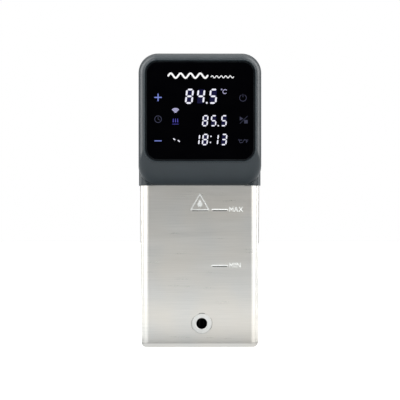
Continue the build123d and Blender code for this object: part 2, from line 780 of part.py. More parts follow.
blade_low = volute_low + 3.0
blade_high = blade_low + 16.0
with BuildPart() as impeller_blade:
    with BuildSketch(Plane.XY.offset(blade_low)):
        with BuildLine():
            blade_back = ThreePointArc(
                (shaft_radius + 2.0, 0), (impeller_radius * 0.6, 3.4), (impeller_radius * 0.96, 2.0)
            )
            Line(blade_back @ 1, (impeller_radius * 0.96, 3.6))
            blade_face = ThreePointArc(
                (impeller_radius * 0.96, 3.6), (impeller_radius * 0.6, 5.0), (shaft_radius + 1.0, 1.6)
            )
            Line(blade_face @ 1, blade_back @ 0)
        make_face()
    extrude(amount=blade_high - blade_low)

with BuildPart() as impeller:
    with BuildSketch(Plane.XY.offset(blade_high)):
        Circle(impeller_radius)
    extrude(amount=2)
    with BuildSketch(Plane.XY.offset(blade_low)):
        Circle(shaft_radius + 3.0)
    extrude(amount=blade_high - blade_low)
    with PolarLocations(0, impeller_blades):
        add(impeller_blade.part)
    with BuildSketch(Plane.XY.offset(blade_low - 1)):
        Circle(shaft_radius)
    extrude(amount=blade_high - blade_low + 4, mode=Mode.SUBTRACT)
save(impeller.part, "impeller")

with BuildPart() as lower_bush:
    with BuildSketch(Plane.XY.offset(volute_high + 2)):
        Circle(bush_radius)
        Circle(shaft_radius + running_gap, mode=Mode.SUBTRACT)
    extrude(amount=bush_length)
save(lower_bush.part, "lower_bush")

with BuildPart() as shaft_column:
    with BuildSketch(Plane.XY.offset(volute_high)):
        Circle(column_radius)
        Circle(column_radius - column_wall, mode=Mode.SUBTRACT)
    extrude(amount=floor_bottom - volute_high)
    with BuildSketch(Plane.XY.offset(floor_bottom)):
        Circle(column_radius + 5)
        Circle(column_radius - column_wall, mode=Mode.SUBTRACT)
    extrude(amount=-3)
    with BuildSketch(Plane.XZ.offset(-30)):
        with Locations((0, volute_high + 22), (0, volute_high + 60)):
            SlotOverall(14, 4, rotation=90)
    extrude(amount=60, mode=Mode.SUBTRACT)
save(shaft_column.part, "shaft_column")

# ================================================================= MOTOR
bearing_radius = 8.0
bearing_height = 5.0
lower_bearing_z = motor_base_z
upper_bearing_z = motor_top_z - bearing_height
core_low = motor_base_z + 9.0
core_high = motor_top_z - 12.0
rotor_gap = 0.4
stator_inner = 15.2
fan_z = motor_top_z + 4.0
fan_height = 12.0

with BuildPart() as shaft_seal:
    with BuildSketch(Plane.XY.offset(floor_bottom)):
        Circle(column_radius - column_wall)
        Circle(shaft_radius + running_gap, mode=Mode.SUBTRACT)
    extrude(amount=floor_thickness)
save(shaft_seal.part, "shaft_seal")

with BuildPart() as motor_mount:
    with BuildSketch(Plane.XY.offset(floor_top)):
        RectangleRounded(2 * motor_radius + 6, 2 * motor_radius - 8, 6)
        Circle(shaft_radius + 3, mode=Mode.SUBTRACT)
        with Locations(*heater_legs, *inner_heater_legs):
            Circle(heater_radius + 5.5, mode=Mode.SUBTRACT)
        with GridLocations(2 * motor_radius - 6, 2 * motor_radius - 16, 2, 2):
            Circle(small_screw, mode=Mode.SUBTRACT)
    extrude(amount=motor_base_z - floor_top)
save(motor_mount.part, "motor_mount")

with BuildPart() as motor_can:
    with BuildSketch(Plane.XY.offset(motor_base_z)):
        Circle(motor_radius)
    extrude(amount=motor_height)
    fillet(motor_can.faces().sort_by(Axis.Z)[-1].edges(), 2)
    with BuildSketch(Plane.XY.offset(motor_base_z)):
        Circle(motor_radius - motor_wall)
    extrude(amount=motor_height - bearing_height, mode=Mode.SUBTRACT)
    with BuildSketch(Plane.XY.offset(upper_bearing_z)):
        Circle(bearing_radius)
    extrude(amount=bearing_height, mode=Mode.SUBTRACT)
save(motor_can.part, "motor_can")

with BuildPart() as motor_end_plate:
    with BuildSketch(Plane.XY.offset(motor_base_z)):
        Circle(motor_radius - motor_wall)
        Circle(bearing_radius, mode=Mode.SUBTRACT)
    extrude(amount=bearing_height)
save(motor_end_plate.part, "motor_end_plate")

for bearing_name, bearing_z in (("lower_bearing", lower_bearing_z), ("upper_bearing", upper_bearing_z)):
    with BuildPart() as bearing:
        with BuildSketch(Plane.XY.offset(bearing_z)):
            Circle(bearing_radius)
            Circle(shaft_radius + running_gap, mode=Mode.SUBTRACT)
        extrude(amount=bearing_height)
    save(bearing.part, bearing_name)

with BuildPart() as stator_core:
    with BuildSketch(Plane.XY.offset(core_low)):
        Circle(motor_radius - motor_wall)
        Circle(stator_inner, mode=Mode.SUBTRACT)
        with PolarLocations(motor_radius - motor_wall - 3.6, 6):
            Circle(1.6, mode=Mode.SUBTRACT)
    extrude(amount=core_high - core_low)
save(stator_core.part, "stator_core")

with BuildPart() as stator_windings:
    for winding_z, winding_height in ((core_low - 3.5, 3.5), (core_high, 5.0)):
        with BuildSketch(Plane.XY.offset(winding_z)):
            Circle(motor_radius - motor_wall - 1.5)
            Circle(stator_inner + 1.0, mode=Mode.SUBTRACT)
        extrude(amount=winding_height)
    fillet(stator_windings.edges().filter_by(GeomType.CIRCLE), 1.2)
save(stator_windings.part, "stator_windings")

with BuildPart() as rotor_core:
    with BuildSketch(Plane.XY.offset(core_low)):
        Circle(stator_inner - rotor_gap)
        Circle(shaft_radius, mode=Mode.SUBTRACT)
    extrude(amount=core_high - core_low)
save(rotor_core.part, "rotor_core")

with BuildPart() as drive_shaft:
    with BuildSketch(Plane.XY.offset(blade_low)):
        Circle(shaft_radius)
    extrude(amount=fan_z + fan_height - blade_low)
    chamfer(drive_shaft.edges().filter_by(GeomType.CIRCLE), 0.4)
save(drive_shaft.part, "drive_shaft")

fan_blade_pitch = 35.0  # degrees
with BuildPart() as fan_blade:
    with BuildSketch(Plane.XY.offset(fan_z + fan_height / 2).rotated((fan_blade_pitch, 0, 0))):
        with Locations(((fan_radius + shaft_radius + 4) / 2, 0)):
            Rectangle(fan_radius - shaft_radius - 4, 12)
    extrude(amount=0.8, both=True)

with BuildPart() as cooling_fan:
    with BuildSketch(Plane.XY.offset(fan_z)):
        Circle(shaft_radius + 6)
    extrude(amount=fan_height)
    with PolarLocations(0, fan_blades):
        add(fan_blade.part)
    with BuildSketch(Plane.XY.offset(fan_z - 1)):
        Circle(shaft_radius)
    extrude(amount=fan_height + 2, mode=Mode.SUBTRACT)
save(cooling_fan.part, "cooling_fan")

# ================================================================= HEATERS AND PROBES
heater_top = floor_top + 14.0
for heater_name, legs, heater_low, heater_front in (
    ("outer_heater", heater_legs, volute_high + 14.0, -26.0),
    ("inner_heater", inner_heater_legs, volute_high + 40.0, -20.0),
):
    (left_x, leg_y), (right_x, _) = legs
    with BuildPart() as heater:
        with BuildLine() as run:
            FilletPolyline(
                (left_x, leg_y, heater_top),
                (left_x, leg_y, heater_low),
                (left_x, heater_front, heater_low),
                (right_x, heater_front, heater_low),
                (right_x, leg_y, heater_low),
                (right_x, leg_y, heater_top),
                radius=heater_bend,
            )
        with BuildSketch(Plane(origin=run.line @ 0, z_dir=run.line % 0)):
            Circle(heater_radius)
        sweep(path=run.line)
    save(heater.part, heater_name)

with BuildPart() as heater_nuts:
    with BuildSketch(Plane.XY.offset(floor_top)):
        with Locations(*heater_legs, *inner_heater_legs):
            RegularPolygon(heater_radius + 1.9, 6)
            Circle(heater_radius, mode=Mode.SUBTRACT)
    extrude(amount=4)
save(heater_nuts.part, "heater_nuts")

with BuildPart() as temperature_probe:
    with BuildSketch(Plane.XY.offset(70)):
        with Locations(probe_place):
            Circle(probe_radius)
    extrude(amount=floor_top + 8 - 70)
    fillet(temperature_probe.faces().sort_by(Axis.Z)[0].edges(), probe_radius * 0.9)
save(temperature_probe.part, "temperature_probe")

with BuildPart() as level_probes:
    with BuildSketch(Plane.XY.offset(minimum_level)):
        with Locations(*level_probe_places):
            Circle(level_probe_radius)
    extrude(amount=floor_top + 6 - minimum_level)
save(level_probes.part, "level_probes")

# ================================================================= REAR CLAMP
# Bracket: a plate on the housing's back, an arm over the pan's rim and a leg that carries the screw.
with BuildPart() as clamp_bracket:
    with BuildSketch(Plane.YZ) as bracket_side:
        with BuildLine():
            Polyline(
                (housing_back, arm_bottom),
                (housing_back, arm_top + clamp_plate_height - clamp_arm),
                (housing_back + 4, arm_top + clamp_plate_height - clamp_arm),
                (housing_back + 4, arm_top),
                (leg_back, arm_top),
                (leg_back, clamp_height - 17),
                (leg_front, clamp_height - 17),
                (leg_front, arm_bottom),
                close=True,
            )
        make_face()
        corner_points = bracket_side.vertices()
        outer_corner = corner_points.sort_by_distance((leg_back, arm_top))[0]
        inner_corner = corner_points.sort_by_distance((leg_front, arm_bottom))[0]
        root_corner = corner_points.sort_by_distance((housing_back + 4, arm_top))[0]
        fillet(outer_corner, 10)
        fillet(inner_corner, 4)
        fillet(root_corner, 7)
    extrude(amount=clamp_width / 2, both=True)
    fillet(clamp_bracket.edges().filter_by(Axis.Y).group_by(Axis.Z)[0], 12)
    with BuildSketch(facing_front(leg_back)):
        with Locations((0, clamp_height)):
            Circle(clamp_nut_radius + 4)
    extrude(amount=-(nut_back - leg_back))
    with BuildSketch(facing_front(nut_back)):
        with Locations((0, clamp_height)):
            Circle(clamp_nut_radius)
    extrude(amount=nut_back - leg_front, mode=Mode.SUBTRACT)
    with BuildSketch(facing_front(housing_back + 4)):
        with Locations(*bracket_screw_places):
            Circle(small_screw + 0.2)
    extrude(amount=4, mode=Mode.SUBTRACT)
save(clamp_bracket.part, "clamp_bracket")

with BuildPart() as bracket_screws:
    with BuildSketch(facing_front(housing_back + 4)):
        with Locations(*bracket_screw_places):
            Circle(small_head)
    extrude(amount=-1.8)
    fillet(bracket_screws.faces().sort_by(Axis.Y)[-4:].edges(), 0.9)
    with BuildSketch(facing_front(housing_back + 4)):
        with Locations(*bracket_screw_places):
            Circle(small_screw)
    extrude(amount=4 + head_wall + 2.5)
    with BuildSketch(facing_front(housing_back + 5.8)):
        with Locations(*bracket_screw_places):
            RegularPolygon(1.2, 6)
    extrude(amount=1.1, mode=Mode.SUBTRACT)
save(bracket_screws.part, "bracket_screws")

with BuildPart() as bracket_back_plate:
    with BuildSketch(facing_front(housing_back - head_wall)):
        with Locations((0, arm_top + 15)):
            RectangleRounded(42, 24, 2)
        with Locations(*bracket_screw_places):
            Circle(small_screw, mode=Mode.SUBTRACT)
    extrude(amount=2.5)
save(bracket_back_plate.part, "bracket_back_plate")

with BuildPart() as clamp_nut:
    with BuildSketch(facing_front(nut_back)):
        with Locations((0, clamp_height)):
            Circle(clamp_nut_radius)
            Circle(clamp_screw_radius + running_gap, mode=Mode.SUBTRACT)
    extrude(amount=nut_back - leg_front)
save(clamp_nut.part, "clamp_nut")

neck_radius = 2.5
clip_y = foot_plate_y + 0.5
rod_end = knob_front + 10.5
with BuildPart() as clamp_screw:
    with BuildSketch(facing_front(rod_end)):
        with Locations((0, clamp_height)):
            Circle(clamp_screw_radius)
    extrude(amount=rod_end - leg_front)
    with BuildSketch(facing_front(leg_front)):
        with Locations((0, clamp_height)):
            Circle(neck_radius)
    extrude(amount=leg_front - clip_y)
save(clamp_screw.part, "clamp_screw")

with BuildPart() as retaining_clip:
    with BuildSketch(facing_front(clip_y + 1.2)):
        with Locations((0, clamp_height)):
            Circle(4.6)
            Circle(neck_radius, mode=Mode.SUBTRACT)
    extrude(amount=1.0)
save(retaining_clip.part, "retaining_clip")

with BuildPart() as clamp_foot:
    with BuildSketch(facing_front(foot_plate_y + clamp_foot_thickness)):
        with Locations((0, clamp_height)):
            Circle(clamp_foot_radius)
    extrude(amount=clamp_foot_thickness)
    fillet(clamp_foot.faces().sort_by(Axis.Y)[-1].edges(), 1.0)
    with BuildSketch(facing_front(foot_plate_y + 2.0)):
        with Locations((0, clamp_height)):
            Circle(5.2)
    extrude(amount=2.0, mode=Mode.SUBTRACT)
    with BuildSketch(facing_front(foot_plate_y + clamp_foot_thickness)):
        with Locations((0, clamp_height)):
            Circle(neck_radius + running_gap)
    extrude(amount=clamp_foot_thickness, mode=Mode.SUBTRACT)
save(clamp_foot.part, "clamp_foot")

with BuildPart() as foot_rubber:
    with BuildSketch(facing_front(foot_plate_y)):
        with Locations((0, clamp_height)):
            Circle(clamp_foot_radius - 0.5)
    extrude(amount=clamp_foot_rubber)
    fillet(foot_rubber.faces().sort_by(Axis.Y)[0].edges(), 0.6)
save(foot_rubber.part, "foot_rubber")

with BuildPart() as clamp_knob:
    with BuildSketch(facing_front(knob_front)) as knob_outline:
        with Locations((0, clamp_height)):
            Circle(knob_radius)
            with PolarLocations(knob_radius + 3.2, knob_lobes):
                Circle(6.5, mode=Mode.SUBTRACT)
        fillet(knob_outline.vertices(), 1.8)
    extrude(amount=-knob_thickness)
    fillet(clamp_knob.faces().sort_by(Axis.Y)[-1].edges(), 2.0)
    fillet(clamp_knob.faces().sort_by(Axis.Y)[0].edges(), 1.0)
    with BuildSketch(facing_front(rod_end)):
        with Locations((0, clamp_height)):
            Circle(clamp_screw_radius)
    extrude(amount=rod_end - knob_front, mode=Mode.SUBTRACT)
save(clamp_knob.part, "clamp_knob")

# Rubber pad on the sleeve's back, which the pan's wall is clamped against.
with BuildPart() as wall_pad:
    with BuildSketch(facing_front(sleeve_back + wall_pad_thickness)):
        with Locations((0, clamp_height)):
            RectangleRounded(36, 26, 3)
    extrude(amount=wall_pad_thickness + 3)
    fillet(wall_pad.faces().sort_by(Axis.Y)[-1].edges(), 0.6)
    add(sleeve_form(0), mode=Mode.SUBTRACT)
save(wall_pad.part, "wall_pad")
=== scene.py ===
"""Finishes a sous vide circulator round its fixed frame: display, marks, fasteners, clamp thread and materials.

It is laid out as an add-on and run as a script. Sizes are in metres unless a comment says millimetres. X runs
to the right, Y to the rear and Z up.
"""

import json
from math import cos, pi, radians, sin, tan

import bmesh
import bpy
from bpy.props import FloatProperty, PointerProperty, StringProperty
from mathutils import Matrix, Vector
from mathutils.bvhtree import BVHTree


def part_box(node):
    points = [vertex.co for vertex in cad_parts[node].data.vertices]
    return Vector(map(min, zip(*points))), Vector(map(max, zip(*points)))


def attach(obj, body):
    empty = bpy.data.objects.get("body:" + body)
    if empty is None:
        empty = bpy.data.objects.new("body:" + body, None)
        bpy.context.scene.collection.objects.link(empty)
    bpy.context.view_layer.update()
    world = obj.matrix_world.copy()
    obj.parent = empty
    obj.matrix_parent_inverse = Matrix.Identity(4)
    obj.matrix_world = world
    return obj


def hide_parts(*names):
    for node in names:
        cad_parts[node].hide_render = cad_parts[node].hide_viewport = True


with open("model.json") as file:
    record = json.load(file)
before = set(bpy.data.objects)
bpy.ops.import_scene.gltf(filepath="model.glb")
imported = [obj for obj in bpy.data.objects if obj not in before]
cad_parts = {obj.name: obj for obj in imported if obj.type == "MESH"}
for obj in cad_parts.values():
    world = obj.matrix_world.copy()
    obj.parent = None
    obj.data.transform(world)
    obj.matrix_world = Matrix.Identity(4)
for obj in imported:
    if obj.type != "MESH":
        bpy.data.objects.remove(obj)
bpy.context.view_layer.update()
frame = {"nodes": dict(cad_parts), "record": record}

bl_info = {
    "name": "Sous Vide Circulator",
    "version": (1, 0, 0),
    "blender": (4, 5, 0),
    "location": "View3D > Sidebar > Circulator",
    "description": "Gives a sous vide circulator its display, marks, fasteners and finishes",
    "category": "Add Mesh",
}

MM = 0.001
SAME_POINT = 0.001 * MM  # points nearer than this are one
MITRE_LIMIT = 0.45  # a sharp corner of a stroke reaches no further than a mitre of this cosine
END_STEPS = 6  # faces round a stroke's round end
SHARP_EDGE = radians(32)  # steeper edges than this stay sharp
LENGTH = {"subtype": "DISTANCE", "unit": "LENGTH"}
GLASS_LOW, GLASS_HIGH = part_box("display_glass")
GLASS_MIDDLE = (GLASS_LOW + GLASS_HIGH) / 2


# ---------------------------------------------------------------- colours, nodes and meshes
def linear(code):
    """The linear colour of an sRGB hex value such as #2b3032."""
    parts = [int(code[place:place + 2], 16) / 255 for place in (1, 3, 5)]
    return (*[part / 12.92 if part <= 0.04045 else ((part + 0.055) / 1.055) ** 2.4 for part in parts], 1.0)


def feed(tree, made, inputs):
    """Fills a node's inputs, each from a value, an output, or a node that gives its first output."""
    for key, value in dict(inputs).items():
        if isinstance(value, bpy.types.Node):
            value = value.outputs[0]
        if isinstance(value, bpy.types.NodeSocket):
            tree.links.new(value, made.inputs[key])
        else:
            made.inputs[key].default_value = value


def node(tree, kind, inputs=(), **settings):
    """Adds a node with its settings and inputs."""
    made = tree.nodes.new(kind)
    for name, value in settings.items():
        setattr(made, name, value)
    feed(tree, made, inputs)
    return made


def new_material(name):
    """An empty node material, its tree and its Principled shader."""
    material = bpy.data.materials.new(name)
    material.use_nodes = True
    tree = material.node_tree
    tree.nodes.clear()
    shader = node(tree, "ShaderNodeBsdfPrincipled")
    node(tree, "ShaderNodeOutputMaterial", {"Surface": shader})
    return material, tree, shader


def paint(names, material):
    """Puts a material on CAD nodes, in place of what they came with."""
    for name in names:
        mesh = frame["nodes"][name].data
        mesh.materials.clear()
        mesh.materials.append(material)


def keep_plain(piece):
    """Makes the result of a piece's modifiers its own plain mesh."""
    evaluated = piece.evaluated_get(bpy.context.evaluated_depsgraph_get())
    mesh = bpy.data.meshes.new_from_object(evaluated)
    piece.modifiers.clear()
    piece.data = mesh
    return piece


def new_piece(name, verts, faces=()):
    """A new object at the origin with that mesh."""
    mesh = bpy.data.meshes.new(name)
    mesh.from_pydata([tuple(v) for v in verts], [], [tuple(f) for f in faces])
    piece = bpy.data.objects.new(name, mesh)
    bpy.context.scene.collection.objects.link(piece)
    return piece


def solids_of(name):
    """Lowest and highest corner of each separate solid of a CAD node."""
    shell = bmesh.new()
    shell.from_mesh(frame["nodes"][name].data)
    bmesh.ops.remove_doubles(shell, verts=shell.verts, dist=SAME_POINT)
    waiting, boxes = set(shell.verts), []
    while waiting:
        frontier, found = [waiting.pop()], []
        while frontier:
            vert = frontier.pop()
            found.append(vert.co.copy())
            for edge in vert.link_edges:
                other = edge.other_vert(vert)
                if other in waiting:
                    waiting.remove(other)
                    frontier.append(other)
        boxes.append([Vector([pick(point[axis] for point in found) for axis in range(3)])
                      for pick in (min, max)])
    shell.free()
    return sorted(boxes, key=lambda box: (round(box[0].z, 5), round(box[0].x, 5)))


# ---------------------------------------------------------------- flat artwork
def ribbon(points, width, closed=False):
    """Faces of a stroke of that width along (x, z) points, with round ends when it is open."""
    points = [Vector(point) for point in points]
    last = len(points) - 1
    sides = []
    for index, point in enumerate(points):
        before = points[index - 1] if closed or index > 0 else None
        after = points[(index + 1) % len(points)] if closed or index < last else None
        runs = [(far - near).normalized() for near, far in ((before, point), (point, after))
                if near is not None and far is not None]
        normals = [Vector((-run.y, run.x)) for run in runs]
        mitre = sum(normals, Vector((0, 0))).normalized()
        reach = width / 2 / max(mitre.dot(normals[0]), MITRE_LIMIT)
        sides.append((point + mitre * reach, point - mitre * reach))
    pairs = list(zip(sides, sides[1:] + sides[:1] if closed else sides[1:]))
    faces = [[start[0], end[0], end[1], start[1]] for start, end in pairs]
    if not closed:
        for point, neighbour in ((points[0], points[1]), (points[-1], points[-2])):
            out = (point - neighbour).normalized()
            across = Vector((-out.y, out.x))
            turns = [pi * step / END_STEPS for step in range(END_STEPS + 1)]
            faces.append([point + (across * cos(turn) + out * sin(turn)) * width / 2 for turn in turns])
    return faces


def arc(centre, radius, start, end, steps):
    """Points on an arc in the (x, z) plane, from one angle in degrees to another."""
    turns = [radians(start + (end - start) * step / steps) for step in range(steps + 1)]
    return [(centre[0] + radius * cos(turn), centre[1] + radius * sin(turn)) for turn in turns]


def ring(centre, radius, width):
    """Faces of a full ring."""
    return ribbon(arc(centre, radius, 0, 360, 24)[:-1], width, closed=True)


def disc(centre, radius):
    """One round face."""
    return [arc(centre, radius, 0, 360, 16)[:-1]]


def moved(faces, x, z, slant=0.0):
    """Faces leant to the right by slant, and moved."""
    return [[(x + (px + slant * pz), z + pz) for px, pz in face] for face in faces]


def plate(name, faces, depth_at, thickness, material):
    """A thin closed plate whose face looks out of the front at the depth that depth_at(x, z) gives."""
    sheet = bmesh.new()
    for face in faces:
        sheet.faces.new([sheet.verts.new((x, 0, z)) for x, z in face])
    bmesh.ops.remove_doubles(sheet, verts=sheet.verts, dist=2 * SAME_POINT)
    sheet.normal_update()
    for face in sheet.faces:
        if face.normal.y > 0:
            face.normal_flip()
    for vert in sheet.verts:
        vert.co.y = depth_at(vert.co.x, vert.co.z)
    piece = new_piece(name, [])
    sheet.to_mesh(piece.data)
    sheet.free()
    wall = piece.modifiers.new("wall", "SOLIDIFY")
    wall.thickness = thickness
    wall.offset = -1
    keep_plain(piece)
    piece.data.materials.append(material)
    return piece


# ---------------------------------------------------------------- materials
def object_noise(tree, size, stretch=(1, 1, 1), detail=3.0):
    """Noise on object coordinates with lumps of that size, drawn out along the axes where stretch is over 1."""
    place = node(tree, "ShaderNodeTexCoord")
    scale = [1 / (size * part) for part in stretch]
    mapping = node(tree, "ShaderNodeMapping", {"Vector": place.outputs["Object"], "Scale": scale})
    return node(tree, "ShaderNodeTexNoise", {"Vector": mapping, "Scale": 1.0, "Detail": detail})


def grained(name, light, dark, roughness, grain, relief, swing=0.06, stretch=(1, 1, 1), **shading):
    """A finish with grain in its relief, patches in its gloss and a slow drift between two near colours.

    The grain's size and the relief's depth are in millimetres, and shading is named for the shader's inputs.
    """
    material, tree, shader = new_material(name)
    fine = object_noise(tree, grain * MM, stretch)
    slow = object_noise(tree, 30 * MM, stretch, 2.0)
    both = node(tree, "ShaderNodeMath", {0: fine, 1: slow}, operation="ADD")
    blend = node(tree, "ShaderNodeMapRange", {0: both, 1: 0.7, 2: 1.3})
    colour = node(tree, "ShaderNodeMix", {0: blend, 6: linear(dark), 7: linear(light)}, data_type="RGBA")
    rough, smooth = roughness + swing, roughness - swing
    gloss = node(tree, "ShaderNodeMapRange", {0: both, 1: 0.6, 2: 1.4, 3: smooth, 4: rough})
    bump = node(tree, "ShaderNodeBump", {"Height": fine, "Distance": relief * MM, "Strength": 1.0})
    feed(tree, shader, {"Base Color": colour.outputs[2], "Roughness": gloss, "Normal": bump})
    feed(tree, shader, shading)
    return material


def lit(name, code, dim_to):
    """Light-emitting artwork behind or on the glass, a little uneven as a diffused lamp is."""
    material, tree, shader = new_material(name)
    uneven = object_noise(tree, 2.5 * MM)
    colour = linear(code)
    dimmer = [part * dim_to for part in colour[:3]] + [1.0]
    shade = node(tree, "ShaderNodeMix", {0: uneven, 6: dimmer, 7: colour}, data_type="RGBA")
    feed(tree, shader, {"Emission Color": shade.outputs[2], "Emission Strength": 1.0,
                        "Base Color": linear("#050508"), "Roughness": 0.2})
    return material


def charcoal_abs(look):
    """Moulded ABS, spark-eroded tool: the eye sees a dark satin skin with a very fine even grain."""
    return grained("spark_textured_abs", look.abs_light, look.abs_dark, 0.32, 0.9, 0.012,
                   swing=0.04, IOR=1.45)


def coated_glass():
    """Float glass printed black behind: the eye sees deep black under a sharp reflection, with faint smears."""
    material, tree, shader = new_material("back_printed_float_glass")
    smear = object_noise(tree, 22 * MM, (1, 1, 0.6), 4.0)
    gloss = node(tree, "ShaderNodeMapRange", {0: smear, 1: 0.35, 2: 0.75, 3: 0.02, 4: 0.07})
    tint = node(tree, "ShaderNodeMix", {0: smear, 6: linear("#000001"), 7: linear("#020203")}, data_type="RGBA")
    feed(tree, shader, {"Base Color": tint.outputs[2], "Roughness": gloss, "IOR": 1.5})
    return material


def brushed_304(look):
    """Type 304 stainless, belt-brushed round the can: the eye sees level streaks that spread light upright.

    Real brush lines are under 0.1 mm apart. They are drawn 0.9 mm apart so that they show.
    """
    material, tree, shader = new_material("belt_brushed_304_stainless")
    lines = object_noise(tree, look.brush_pitch, (45, 45, 1), 4.0)
    bands = object_noise(tree, 7 * MM, (16, 16, 1), 2.0)
    cloud = object_noise(tree, 45 * MM, (1, 1, 1), 1.0)
    streaks = node(tree, "ShaderNodeMix", {0: 0.25, 2: lines, 3: bands}, data_type="FLOAT")
    tone = node(tree, "ShaderNodeMapRange", {0: streaks, 1: 0.3, 2: 0.7})
    steel = node(tree, "ShaderNodeMix", {0: tone, 6: linear(look.steel_dark), 7: linear(look.steel_light)},
                 data_type="RGBA").outputs[2]
    warm = node(tree, "ShaderNodeMapRange", {0: cloud, 1: 0.35, 2: 0.65, 3: 0.0, 4: 0.35})
    colour = node(tree, "ShaderNodeMix", {0: warm, 6: steel, 7: linear(look.steel_warm)}, data_type="RGBA")
    gloss = node(tree, "ShaderNodeMapRange", {0: streaks, 1: 0.3, 2: 0.7, 3: 0.27, 4: 0.31})
    bump = node(tree, "ShaderNodeBump", {"Height": lines, "Distance": 0.0015 * MM, "Strength": 1.0})
    feed(tree, shader, {"Base Color": colour.outputs[2], "Roughness": gloss, "Normal": bump, "Metallic": 1.0,
                        "Anisotropic": 0.35})
    return material


def plain_finishes():
    """The other parts' finishes by material slot, each under the real material and what it gives the eye."""
    metal = {"Metallic": 1.0}
    return {
        # drawn 304 tube and turned bar: brighter and smoother than the sleeve, with faint lines along the draw
        "plain_stainless": grained("drawn_304_stainless", "#cfcecb", "#bdbcb9", 0.22, 0.7, 0.004, **metal),
        # zinc-plated steel: bluish, bright, softly mottled
        "zinc_screws": grained("bright_zinc_plate", "#c2c6cb", "#a3a8ae", 0.27, 0.6, 0.006, **metal),
        # die-cast aluminium, bead-blasted: even grey with a sparkle of fine pits
        "cast_metal": grained("blasted_die_cast_aluminium", "#b1b3b4", "#999c9e", 0.42, 0.7, 0.03, **metal),
        # nitrile rubber: dead black-grey with a dusty bloom
        "rubber": grained("moulded_nitrile_rubber", "#1d1d1f", "#131314", 0.72, 0.8, 0.03),
        # cured silicone: brick red, waxy
        "silicone": grained("cured_red_silicone", "#a0483a", "#8a3a2f", 0.5, 1.0, 0.01),
        # glass-filled nylon: near black, with the rough skin of the fibres
        "black_moulding": grained("glass_filled_nylon", "#1c1d1f", "#121314", 0.5, 0.7, 0.025, IOR=1.53),
        # PPS: dark brown-grey, slightly glossy
        "pump_plastic": grained("moulded_pps", "#2c2a27", "#201e1c", 0.4, 1.2, 0.01),
        # PTFE: milky white, waxy
        "bush_plastic": grained("turned_ptfe", "#e9e6dc", "#dad6ca", 0.45, 0.8, 0.006),
        # turned bronze: warm brown-gold with lathe lines
        "bronze": grained("turned_bronze", "#b98a52", "#9b703e", 0.3, 0.5, 0.006, **metal),
        # nickel-flashed brass: pale gold
        "brass_pins": grained("nickel_flashed_brass", "#d8c48e", "#c0aa72", 0.25, 0.6, 0.004, **metal),
        # enamelled copper wire: amber over copper
        "copper": grained("enamelled_copper", "#b5612f", "#8f4620", 0.3, 0.8, 0.05, **metal),
        # varnished electrical steel: blue-grey stack
        "laminations": grained("varnished_electrical_steel", "#5b6068", "#474b52", 0.4, 0.5, 0.02,
                               stretch=(20, 20, 1), **metal),
        # fibreglass board under green solder mask
        "circuit_board": grained("green_solder_mask", "#1f5a34", "#174728", 0.35, 1.5, 0.02),
        # white case under a milky lens
        "led_module": grained("milky_polycarbonate", "#e4e4e6", "#d2d2d6", 0.3, 1.0, 0.004),
        # moulded component cases: blue-black, glossy
        "component_plastic": grained("moulded_pbt_case", "#1d2f52", "#15233f", 0.3, 1.0, 0.008),
        # varnished ferrite: dull charcoal
        "transformer_core": grained("varnished_ferrite", "#3b3a3c", "#2c2b2d", 0.5, 0.9, 0.02),
        # black anodised extrusion: satin black with lines along the extrusion
        "anodised_aluminium": grained("black_anodised_aluminium", "#242528", "#18191b", 0.38, 0.5, 0.01,
                                      stretch=(1, 1, 20), Metallic=0.6),
    }


# ---------------------------------------------------------------- node trees for what repeats
def new_tree(name, sockets):
    """A geometry tree with named inputs, each a (label, kind, default), and what its input node gives."""
    tree = bpy.data.node_groups.new(name, "GeometryNodeTree")
    tree.interface.new_socket("Geometry", in_out="OUTPUT", socket_type="NodeSocketGeometry")
    tree.interface.new_socket("Geometry", in_out="INPUT", socket_type="NodeSocketGeometry")
    for label, kind, default in sockets:
        socket = tree.interface.new_socket(label, in_out="INPUT", socket_type="NodeSocket" + kind)
        if default is not None:
            socket.default_value = default
    return tree, node(tree, "NodeGroupInput").outputs


def finish_tree(tree, geometry, given):
    """Ends a tree: real mesh, sharp edges kept sharp, and its material."""
    real = node(tree, "GeometryNodeRealizeInstances", {0: geometry})
    smooth = node(tree, "GeometryNodeSetShadeSmooth", {"Geometry": real, "Shade Smooth": True})
    angle = node(tree, "GeometryNodeInputMeshEdgeAngle")
    sharp = node(tree, "FunctionNodeCompare", {0: angle, 1: SHARP_EDGE}, operation="GREATER_THAN")
    edged = node(tree, "GeometryNodeSetShadeSmooth",
                 {"Geometry": smooth, "Selection": sharp, "Shade Smooth": False}, domain="EDGE")
    painted = node(tree, "GeometryNodeSetMaterial", {"Geometry": edged, "Material": given["Material"]})
    node(tree, "NodeGroupOutput", {0: painted})
    return tree


def run_tree(piece, tree, values):
    """Runs a tree on a piece with its named inputs set, and keeps the result as a plain mesh."""
    modifier = piece.modifiers.new(tree.name, "NODES")
    modifier.node_group = tree
    for item in tree.interface.items_tree:
        if item.item_type == "SOCKET" and item.in_out == "INPUT" and item.name in values:
            modifier[item.identifier] = values[item.name]
    return keep_plain(piece)


